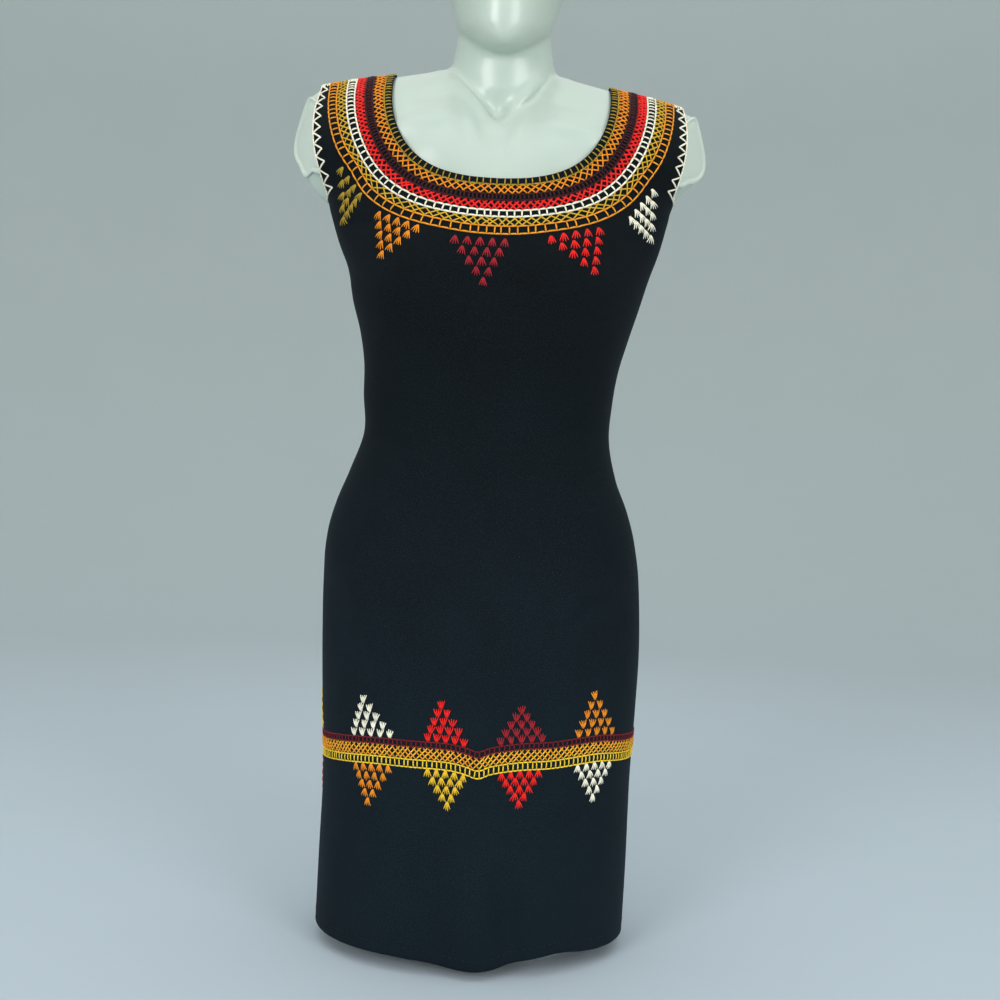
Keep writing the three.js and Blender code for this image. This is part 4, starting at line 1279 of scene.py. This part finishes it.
def torso_rings():
    """Rings of the torso and arm stumps, from the hips up to the shoulder ridge.

    Each ring is the garment's own smooth surface drawn in by the form's inset. Above the underarm
    the rings climb towards the shoulder ridge until their front and back halves meet there. Past the
    armholes they are drawn out sideways, which makes the stumps.
    """
    half_columns, start = TORSO["half_columns"], TORSO["start"]
    lift = CLOTH + TORSO["lift"]
    angle = np.pi * np.arange(half_columns) / half_columns
    turns = np.concatenate([-np.cos(angle), np.cos(angle)])
    front = np.arange(2 * half_columns) < half_columns
    low = np.linspace(TORSO["bottom"] + TORSO["edge"], start, TORSO["rows"])
    heights = [np.full(2 * half_columns, z) for z in (TORSO["bottom"], *low)]
    shares = 1 - (1 - np.arange(1, TORSO["shoulder_rows"] + 1) / (TORSO["shoulder_rows"] + 0.6)) ** 1.5
    for share in shares:
        z = np.full(2 * half_columns, start)
        for _ in range(12):
            x = along(SECTIONS, MID, z) + (along(SECTIONS, HALF, z) - lift) * turns
            z = start + (np.where(front, ridge(x, FRONT), ridge(x, BACK)) - lift - start) * share
        heights.append(z)
    z = np.array(heights)
    shrink = np.where(np.arange(len(z)) == 0, TORSO["edge"], 0)[:, None]
    inset = CLOTH + along(FORM_INSET, 1, z) + shrink
    eased = TORSO["rise"] + (STUMP["rise"] - TORSO["rise"]) * smooth(z, STUMP["low"], STUMP["high"])
    narrow = np.where(z > TORSO["rise_from"], eased, 0)
    half = np.minimum(along(SECTIONS, HALF, z - narrow), along(SECTIONS, HALF, z + narrow))
    mid = along(SECTIONS, MID, z)
    above = z + np.minimum(inset, lift)
    y = np.where(front, skin(FRONT, mid + half * turns, above), skin(BACK, mid + half * turns, above))
    depth = np.abs(np.where(front, skin(FRONT, mid, z), skin(BACK, mid, z)))
    reach = (half - inset) * np.abs(turns)
    past = np.maximum(0, reach - STUMP["from"]) * along(STUMP_SPREAD, 1, z)
    x = mid + (np.minimum(reach, STUMP["from"]) + past) * np.sign(turns)
    sink = past * STUMP["sink"] * (1 - smooth(z, STUMP["low"], CAP["z"]))
    return np.stack([x, y * (1 - inset / np.maximum(depth, TORSO["least_depth"])), z - sink], axis=-1)


def oval_rings(table, rows, sides=64):
    """Rings of the neck or the head: an oval at many heights of its table."""
    z = np.linspace(table[0, 0], table[-1, 0], rows)[:, None]
    turn = 2 * np.pi * np.arange(sides) / sides
    front, back = along(table, 2, z), along(table, 3, z)
    x = AXIS_X + along(table, 1, z) * np.cos(turn)
    y = (front + back) / 2 + (back - front) / 2 * np.sin(turn)
    return np.stack([x, y, z + 0 * turn], axis=-1)


def bulge_rings(middle_x, middle_y, middle_z, half_x, half_y, half_z, rows=17, sides=40):
    """Rings of a top: at each height an oval whose size is sqrt(1 - |height|)."""
    rise = np.sin(np.linspace(-0.98, 0.98, rows) * np.pi / 2)[:, None]
    turn = 2 * np.pi * np.arange(sides) / sides
    size = np.sqrt(1 - np.abs(rise))
    return np.stack([middle_x + half_x * size * np.cos(turn), middle_y + half_y * size * np.sin(turn),
                     middle_z + half_z * rise + 0 * turn], axis=-1)


def ring_stack(name, rings):
    """A closed mesh from a stack of rings, with a flat face at each end."""
    rows, around = rings.shape[:2]
    sides = grid_faces(rows, around, closed=True)
    ends = np.stack([np.arange(around)[::-1], (rows - 1) * around + np.arange(around)])
    return build_mesh(name, rings.reshape(-1, 3), [sides, ends])


def cap_plane(hand):
    """A point and the outward direction of a stump's cut, in metres."""
    turn = math.radians(CAP["turn"])
    point = Vector((AXIS_X + hand * CAP["x"], CAP["y"], CAP["z"])) * MM
    return point, Vector((hand * math.cos(turn), -math.sin(turn), 0))


def apply_modifiers(obj):
    """Replaces an object's mesh by its evaluated one and drops its modifiers."""
    evaluated = obj.evaluated_get(bpy.context.evaluated_depsgraph_get())
    mesh = bpy.data.meshes.new_from_object(evaluated)
    obj.modifiers.clear()
    old, obj.data = obj.data, mesh
    bpy.data.meshes.remove(old)


def stump_cap(name, hand, loop, node, material):
    """The flat cover of an arm stump, with a rolled rim and a groove inside it.

    The rim's profile is a list of distances in from the edge and out from the cut, carried round
    the stump's own outline.
    """
    point, normal = cap_plane(hand)
    side = normal.cross(Vector((0, 0, 1)))
    flat = np.array([[side.dot(v - point), v.z - point.z] for v in loop]) / MM
    middle = (flat.max(axis=0) + flat.min(axis=0)) / 2
    angle = np.arctan2(*(flat - middle).T[::-1])
    reach = np.linalg.norm(flat - middle, axis=1)
    order = np.argsort(angle)
    turn = 2 * np.pi * np.arange(CAP_SIDES) / CAP_SIDES - np.pi
    radius = np.interp(turn, angle[order], reach[order], period=2 * np.pi)
    kernel = np.array([1, 2, 3, 2, 1]) / 9
    radius = np.convolve(np.concatenate([radius[-2:], radius, radius[:2]]), kernel, "valid")
    inward = np.minimum(CAP_PROFILE[:, :1], 0.85 * radius[None, :])
    spoke = np.stack([np.cos(turn), np.sin(turn)], axis=-1)
    place = middle + (radius[None, :] - inward)[..., None] * spoke
    out = CAP_PROFILE[:, 1:2] + 0 * turn
    base, across, away = (np.array(v) for v in (point / MM, side, normal))
    upright = np.array([0, 0, 1])
    points = base + place[..., :1] * across + place[..., 1:] * upright + out[..., None] * away
    obj = ring_stack(name, points)
    face = bmesh.new()
    face.from_mesh(obj.data)
    bmesh.ops.recalc_face_normals(face, faces=face.faces)
    face.to_mesh(obj.data)
    face.free()
    return finish_piece(obj, [material], node)


def melted_form(voxel):
    """The torso, neck, head and stump bulges, melted into one closed skin and eased."""
    parts = [ring_stack("form_torso", torso_rings()),
             ring_stack("form_neck", oval_rings(NECK_SECTIONS, 40)),
             ring_stack("form_head", oval_rings(HEAD_SECTIONS, 60)),
             *(ring_stack("form_bulge", bulge_rings(*row)) for row in STUMP_BULGE)]
    shell = bmesh.new()
    for part in parts:
        shell.from_mesh(part.data)
        bpy.data.objects.remove(part)
    mesh = bpy.data.meshes.new("form_shell")
    shell.to_mesh(mesh)
    shell.free()
    form = link("form_shell", mesh)
    remesh = form.modifiers.new("melt", "REMESH")
    remesh.mode, remesh.voxel_size = "VOXEL", voxel
    ease = form.modifiers.new("ease", "SMOOTH")
    ease.factor, ease.iterations = 0.5, 8
    apply_modifiers(form)
    return form


def model_throat(mesh):
    """Pushes the front of the form in and out along the folds of the throat."""
    place = np.empty(3 * len(mesh.vertices))
    normal = np.empty_like(place)
    mesh.vertices.foreach_get("co", place)
    mesh.vertices.foreach_get("normal", normal)
    place, normal = place.reshape(-1, 3) / MM, normal.reshape(-1, 3)
    push = fold_push(THROAT, FRONT, place[:, 0], place[:, 2]) * smooth(-place[:, 1], 0, 30)
    mesh.vertices.foreach_set("co", ((place + normal * push[:, None]) * MM).ravel())
    mesh.update()


def cut_stumps(mesh):
    """Cuts both stumps flat and closes them. Returns the points of each cut's edge by hand."""
    cut = bmesh.new()
    cut.from_mesh(mesh)
    loops = {}
    for hand in (RIGHT, LEFT):
        point, normal = cap_plane(hand)
        result = bmesh.ops.bisect_plane(cut, geom=cut.verts[:] + cut.edges[:] + cut.faces[:],
                                        plane_co=point, plane_no=normal, clear_outer=True)
        edges = [e for e in result["geom_cut"] if isinstance(e, bmesh.types.BMEdge)]
        loops[hand] = [v.co.copy() for v in {v for e in edges for v in e.verts}]
        bmesh.ops.holes_fill(cut, edges=edges)
    bmesh.ops.recalc_face_normals(cut, faces=cut.faces)
    cut.to_mesh(mesh)
    cut.free()
    mesh.polygons.foreach_set("use_smooth", np.ones(len(mesh.polygons), dtype=bool))
    return loops


class DRESS_OT_form(bpy.types.Operator):
    """Builds the limbless display form in one moulded shell, and the covers of its arm stumps."""
    bl_idname = "dress.form"
    bl_label = "Display form"

    def execute(self, context):
        colours = context.scene.dress_colours
        form = melted_form(context.scene.dress_sizes.form_voxel)
        model_throat(form.data)
        loops = cut_stumps(form.data)
        form.data.materials.clear()
        gloss = shell_material("gloss_moulded_fibreglass", colours.shell, colours.shell_warm)
        finish_piece(form, [gloss], "form_body")
        # The covers are moulded apart from the shell and are a little whiter.
        white = shell_material("gloss_moulded_cover", colours.cover, colours.shell_warm)
        stump_cap("stump_cover_right", RIGHT, loops[RIGHT], "form_cap_right", white)
        stump_cap("stump_cover_left", LEFT, loops[LEFT], "form_cap_left", white)
        return {"FINISHED"}


def turned(name, profile, y, node, material, stretch=(1.0, 1.0)):
    """A turned piece: a profile of radius and height carried round an upright line."""
    turn = 2 * np.pi * np.arange(TURNED_SIDES) / TURNED_SIDES
    profile = np.array(profile, dtype=float)
    x, depth = (profile[:, :1] * share * wave(turn) for share, wave in zip(stretch, (np.cos, np.sin)))
    points = np.stack([x, y + depth, profile[:, 1:] + 0 * turn], axis=-1)
    return finish_piece(ring_stack(name, points), [material], node)


def rounded_disc(radius, low, high, edge):
    """Profile of a disc with rounded edges: flat, a quarter circle, the side, a quarter circle."""
    quarter = np.linspace(0, np.pi / 2, 6)
    bottom = [(radius - edge + edge * math.sin(a), low + edge - edge * math.cos(a)) for a in quarter]
    top = [(radius - edge + edge * math.cos(a), high - edge + edge * math.sin(a)) for a in quarter]
    return [(radius * 0.2, low), *bottom, *top, (radius * 0.2, high)]


class DRESS_OT_stand(bpy.types.Operator):
    """Builds the plate, pole and collars that carry the form."""
    bl_idname = "dress.stand"
    bl_label = "Stand"

    def execute(self, context):
        steel, enamel = steel_material(), enamel_material()
        foot_low = PLATE["thickness"] + SEAM_GAP
        foot_high = foot_low + POLE_FOOT["height"]
        socket_high = TORSO["bottom"] - SEAM_GAP
        socket_low = socket_high - POLE_SOCKET["height"]
        plate = rounded_disc(PLATE["half_x"], 0.0, PLATE["thickness"], PLATE["edge"])
        turned("base_plate", plate, PLATE["y"], "stand_base", enamel,
               (1.0, PLATE["half_y"] / PLATE["half_x"]))
        for name, sizes, low, high, node in (
                ("pole_foot", POLE_FOOT, foot_low, foot_high, "stand_foot"),
                ("pole", POLE, foot_high + SEAM_GAP, socket_low - SEAM_GAP, "stand_pole"),
                ("pole_socket", POLE_SOCKET, socket_low, socket_high, "stand_socket")):
            turned(name, rounded_disc(sizes["radius"], low, high, sizes["edge"]), POLE["y"], node, steel)
        return {"FINISHED"}


class DRESS_OT_panels(bpy.types.Operator):
    """Builds the front and the back of the dress as thin cloth walls."""
    bl_idname = "dress.panels"
    bl_label = "Front and back"

    def execute(self, context):
        material = cloth_material(context.scene.dress_sizes, context.scene.dress_colours)
        for name, side, node in (("dress_front", FRONT, "front_panel"),
                                 ("dress_back", BACK, "back_panel")):
            finish_piece(thick_panel(name, side), [material], node)
        return {"FINISHED"}


class DRESS_OT_neck_band(bpy.types.Operator):
    """Sews the rows round the neck and the triangles that hang from them."""
    bl_idname = "dress.neck_band"
    bl_label = "Neck band"

    def execute(self, context):
        rng = np.random.default_rng(context.scene.dress_sizes.seed)
        for name, side in (("neck_rows_front", FRONT), ("neck_rows_back", BACK)):
            sew(name, neck_rows(side, rng))
        for name, side in (("neck_triangles_front", FRONT), ("neck_triangles_back", BACK)):
            place = partial(cloth_place, side)
            batches = []
            for colour, first, last, tip, counts, lean_top, lean_tip in NECK_TRIANGLES[side]:
                centres, share = triangle(first, last, tip, counts)
                lean = mix(lean_top, lean_tip, share)
                batches += tufts(place, centres, lean, -1, colour, rng)
            sew(name, batches)
        return {"FINISHED"}


def skirt_shapes(front, whole, rng):
    """Every triangle of the skirt band: the front's own, then the ones round the sides and back.

    Each has its place along the band, then what SKIRT_TRIANGLES says of it.
    """
    shapes = [(s, *row[1:]) for s, row in zip(front, SKIRT_TRIANGLES)]
    start = front[-1] + TRIANGLE_ROUND["after"]
    end = front[0] + whole - TRIANGLE_ROUND["before"]
    gap = (end - start) / (len(SKIRT_ROUND) + 1)
    for i, (over, under) in enumerate(SKIRT_ROUND):
        wide, tall, shear = (rng.uniform(*TRIANGLE_ROUND[name], 2) for name in ("wide", "tall", "shear"))
        shapes.append((start + gap * (i + 1), wide[0], shear[0], tall[0], wide[1], shear[1], tall[1],
                       over, under))
    return shapes


class DRESS_OT_skirt_band(bpy.types.Operator):
    """Sews the three rows round the skirt and the triangles above and below them."""
    bl_idname = "dress.skirt_band"
    bl_label = "Skirt band"

    def execute(self, context):
        rng = np.random.default_rng(context.scene.dress_sizes.seed + 1)
        turn, travel = ring_table()
        whole = travel[-1]

        def top(s):
            """Height of the band's upper edge at a length round the skirt."""
            return band_top(np.interp(np.mod(s, whole), travel, turn))

        def place(s, z):
            """Point and outward direction at a length round the skirt and a height."""
            return ring_place(np.interp(np.mod(s, whole), travel, turn), z)

        def edge(s, drop):
            """Places a drop below the band's upper edge."""
            return np.stack([s, top(s) - drop], axis=-1)

        batches = []
        for kind, first, second, upper, lower, pitch, radius in SKIRT_ROWS:
            places = spaced(0, whole, pitch, rng)
            low, high = partial(edge, drop=lower), partial(edge, drop=upper)
            if kind == "ladder":
                batches += ladder(place, low, high, places, first, radius, rng)
            else:
                places = np.concatenate([places, places[1:4] + whole])
                batches += lattice(place, low, high, places, (first, second), radius, rng, reach=2.0)
        sew("skirt_rows", batches)

        batches = []
        front = [np.interp(math.acos((SKIRT_RING["mid"] - x) / SKIRT_RING["half"]), turn, travel)
                 for x, *_ in SKIRT_TRIANGLES]
        band_low = SKIRT_ROWS[-1][4]
        shapes = skirt_shapes(front, whole, rng)
        for s, wide, shear, tall, wide_low, shear_low, tall_low, over, under in shapes:
            for way, width, lean, height, colour, away in (
                    (1, wide, shear, tall, over, TRIANGLE_CLEAR["over"]),
                    (-1, wide_low, shear_low, tall_low, under, -band_low - TRIANGLE_CLEAR["under"])):
                centres, share = triangle((s - width / 2, 0), (s + width / 2, 0), (s + lean, way * height),
                                          TRIANGLE_COUNTS)
                # The top row follows the band, and the tip keeps to the middle's height.
                centres[:, 1] += top(centres[:, 0]) * (1 - share) + share * top(np.array(s)) + away
                batches += tufts(place, centres, 0, way, colour, rng, wide=3.6, tall=8.0)
        sew("skirt_triangles", batches)
        return {"FINISHED"}


def armhole_line(hand):
    """The armhole edge from the underarm to the shoulder as places of the front view."""
    underarm = UNDERARM_Z + UNDERARM_TILT * hand * UNDERARM_HALF
    z = np.linspace(underarm + 0.5, ZIGZAG["top"] - ZIGZAG["top_tilt"] * hand, 400)
    reach = mix(along(SECTIONS, HALF, z), armhole_half(z), np.clip((z - z[0]) / TURN_IN, 0, 1))
    line = np.stack([AXIS_X + hand * reach, z], axis=-1)
    return arc(line, 0), line


def armhole_batches(side, hand, sizes, rng):
    """The zigzag and the rail of one half of an armhole."""
    place = partial(cloth_place, side)
    travel, line = armhole_line(hand)
    inward = np.array([-hand, 0.0])

    def at(s):
        """The place a length along the armhole edge."""
        return np.stack([np.interp(s, travel, line[:, i]) for i in range(2)], axis=-1)

    count = max(4, int(round(travel[-1] / (sizes.zigzag_pitch / MM))))
    knots = np.linspace(2, travel[-1] - 1, 2 * count + 1)
    knots[1:-1] += 0.5 * rng.standard_normal(2 * count - 1)
    reach = np.where(np.arange(2 * count + 1) % 2, sizes.zigzag_reach / MM, ZIGZAG["near"])
    corners = at(knots) + inward * reach[:, None]
    rail = at(np.linspace(0.5, travel[-1], 4 * count + 1)) + inward * ZIGZAG["rail_in"]
    batches = []
    for line_points, radius, settings in (
            (corners, ZIGZAG["radius"], {"points": 5, "dip": 0.5, "arch": 0.15}),
            (rail, ZIGZAG["rail_radius"], {"dip": 0.35, "arch": 0.1})):
        pairs = np.stack([line_points[:-1], line_points[1:]], axis=1)
        batches.append(("cream", *lay(place, pairs, radius, **settings), radius))
    return batches


def overcast_batch(hand, low, high, colour, rng):
    """Stitches over the shoulder seam between two distances from the centre line."""
    radius = OVERCAST["radius"]
    x = AXIS_X + hand * spaced(low + 0.8, high - 0.8, OVERCAST["pitch"], rng)
    slant = OVERCAST["slant"] * rng.standard_normal(len(x))
    top = ridge(x, BACK)
    steps = ((5.0, 0.8), (2.2, 0.3))      # drop below the ridge, and share of the slant
    front = [cloth_place(FRONT, x - slant * shift, top - drop) for drop, shift in steps]
    back = [cloth_place(BACK, x + slant * shift, top - drop) for drop, shift in steps[::-1]]
    crest = np.stack([x, np.full_like(x, RIDGE_Y), top + 0.3], axis=-1)
    over = (crest, np.broadcast_to([0.0, 0.0, 1.0], crest.shape))
    path, normal = (np.stack(part, axis=1) for part in zip(*front, over, *back))
    height = np.array([-0.3, 0.7, 0.8, 0.7, -0.3])[None, :, None]
    return colour, path + normal * height * radius, normal, radius


def hem_batch(side, sizes, rng):
    """The dashes of the hem's stitching on one panel."""
    step = sizes.hem_stitch / MM / HEM_STITCH["turn_length"]
    angle = spaced(-math.pi / 2 + 0.03, math.pi / 2 - 0.03, step, rng, 0.05)
    x = along(SECTIONS, HALF, np.array(HEM_STITCH["half_at"])) * np.sin(angle)
    line = np.stack([x, hem_height(side, x) + HEM_STITCH["above"]], axis=-1)
    pairs = np.stack([line[:-1], mix(line[:-1], line[1:], HEM_STITCH["share"])], axis=1)
    radius = HEM_STITCH["radius"]
    return "black", *lay(partial(cloth_place, side), pairs, radius, points=3), radius


class DRESS_OT_edgings(bpy.types.Operator):
    """Sews the armhole zigzags, the overcast shoulder seams and the hem."""
    bl_idname = "dress.edgings"
    bl_label = "Edgings"

    def execute(self, context):
        sizes = context.scene.dress_sizes
        rng = np.random.default_rng(sizes.seed + 2)
        sew("armhole_edging", [batch for side in (FRONT, BACK) for hand in (RIGHT, LEFT)
                               for batch in armhole_batches(side, hand, sizes, rng)])
        sew("shoulder_overcast", [overcast_batch(hand, *band, rng) for hand in (RIGHT, LEFT)
                                  for band in SHOULDER_BANDS])
        sew("hem_stitches", [hem_batch(side, sizes, rng) for side in (FRONT, BACK)])
        return {"FINISHED"}


class DRESS_OT_declare(bpy.types.Operator):
    """A step that does nothing."""
    bl_idname = "dress.declare"
    bl_label = "Cloth facts"

    def execute(self, context):
        return {"FINISHED"}


class DRESS_PT_panel(bpy.types.Panel):
    """Sizes, colours and steps of the dress in the sidebar."""
    bl_idname = "DRESS_PT_panel"
    bl_label = "Embroidered dress"
    bl_space_type = "VIEW_3D"
    bl_region_type = "UI"
    bl_category = "Dress"

    def draw(self, context):
        for group in (context.scene.dress_sizes, context.scene.dress_colours, context.scene.dress_stage):
            for name in group.__annotations__:
                self.layout.prop(group, name)
        for step in STEPS:
            self.layout.operator(step.bl_idname)


STEPS = (DRESS_OT_stage, DRESS_OT_form, DRESS_OT_stand, DRESS_OT_panels, DRESS_OT_neck_band,
         DRESS_OT_skirt_band, DRESS_OT_edgings, DRESS_OT_declare)
CLASSES = (DressSizes, DressColours, DressStage, *STEPS, DRESS_PT_panel)


def register():
    """Adds the operators, the panel and the scene's settings."""
    for cls in CLASSES:
        bpy.utils.register_class(cls)
    bpy.types.Scene.dress_sizes = PointerProperty(type=DressSizes)
    bpy.types.Scene.dress_colours = PointerProperty(type=DressColours)
    bpy.types.Scene.dress_stage = PointerProperty(type=DressStage)


def unregister():
    """Takes them away again."""
    del bpy.types.Scene.dress_stage, bpy.types.Scene.dress_colours, bpy.types.Scene.dress_sizes
    for cls in reversed(CLASSES):
        bpy.utils.unregister_class(cls)


def main():
    """Builds everything."""
    register()
    bpy.ops.dress.stage()
    bpy.ops.dress.form()
    bpy.ops.dress.stand()
    bpy.ops.dress.panels()
    bpy.ops.dress.neck_band()
    bpy.ops.dress.skirt_band()
    bpy.ops.dress.edgings()
    bpy.ops.dress.declare()


if __name__ == "__main__":
    main()
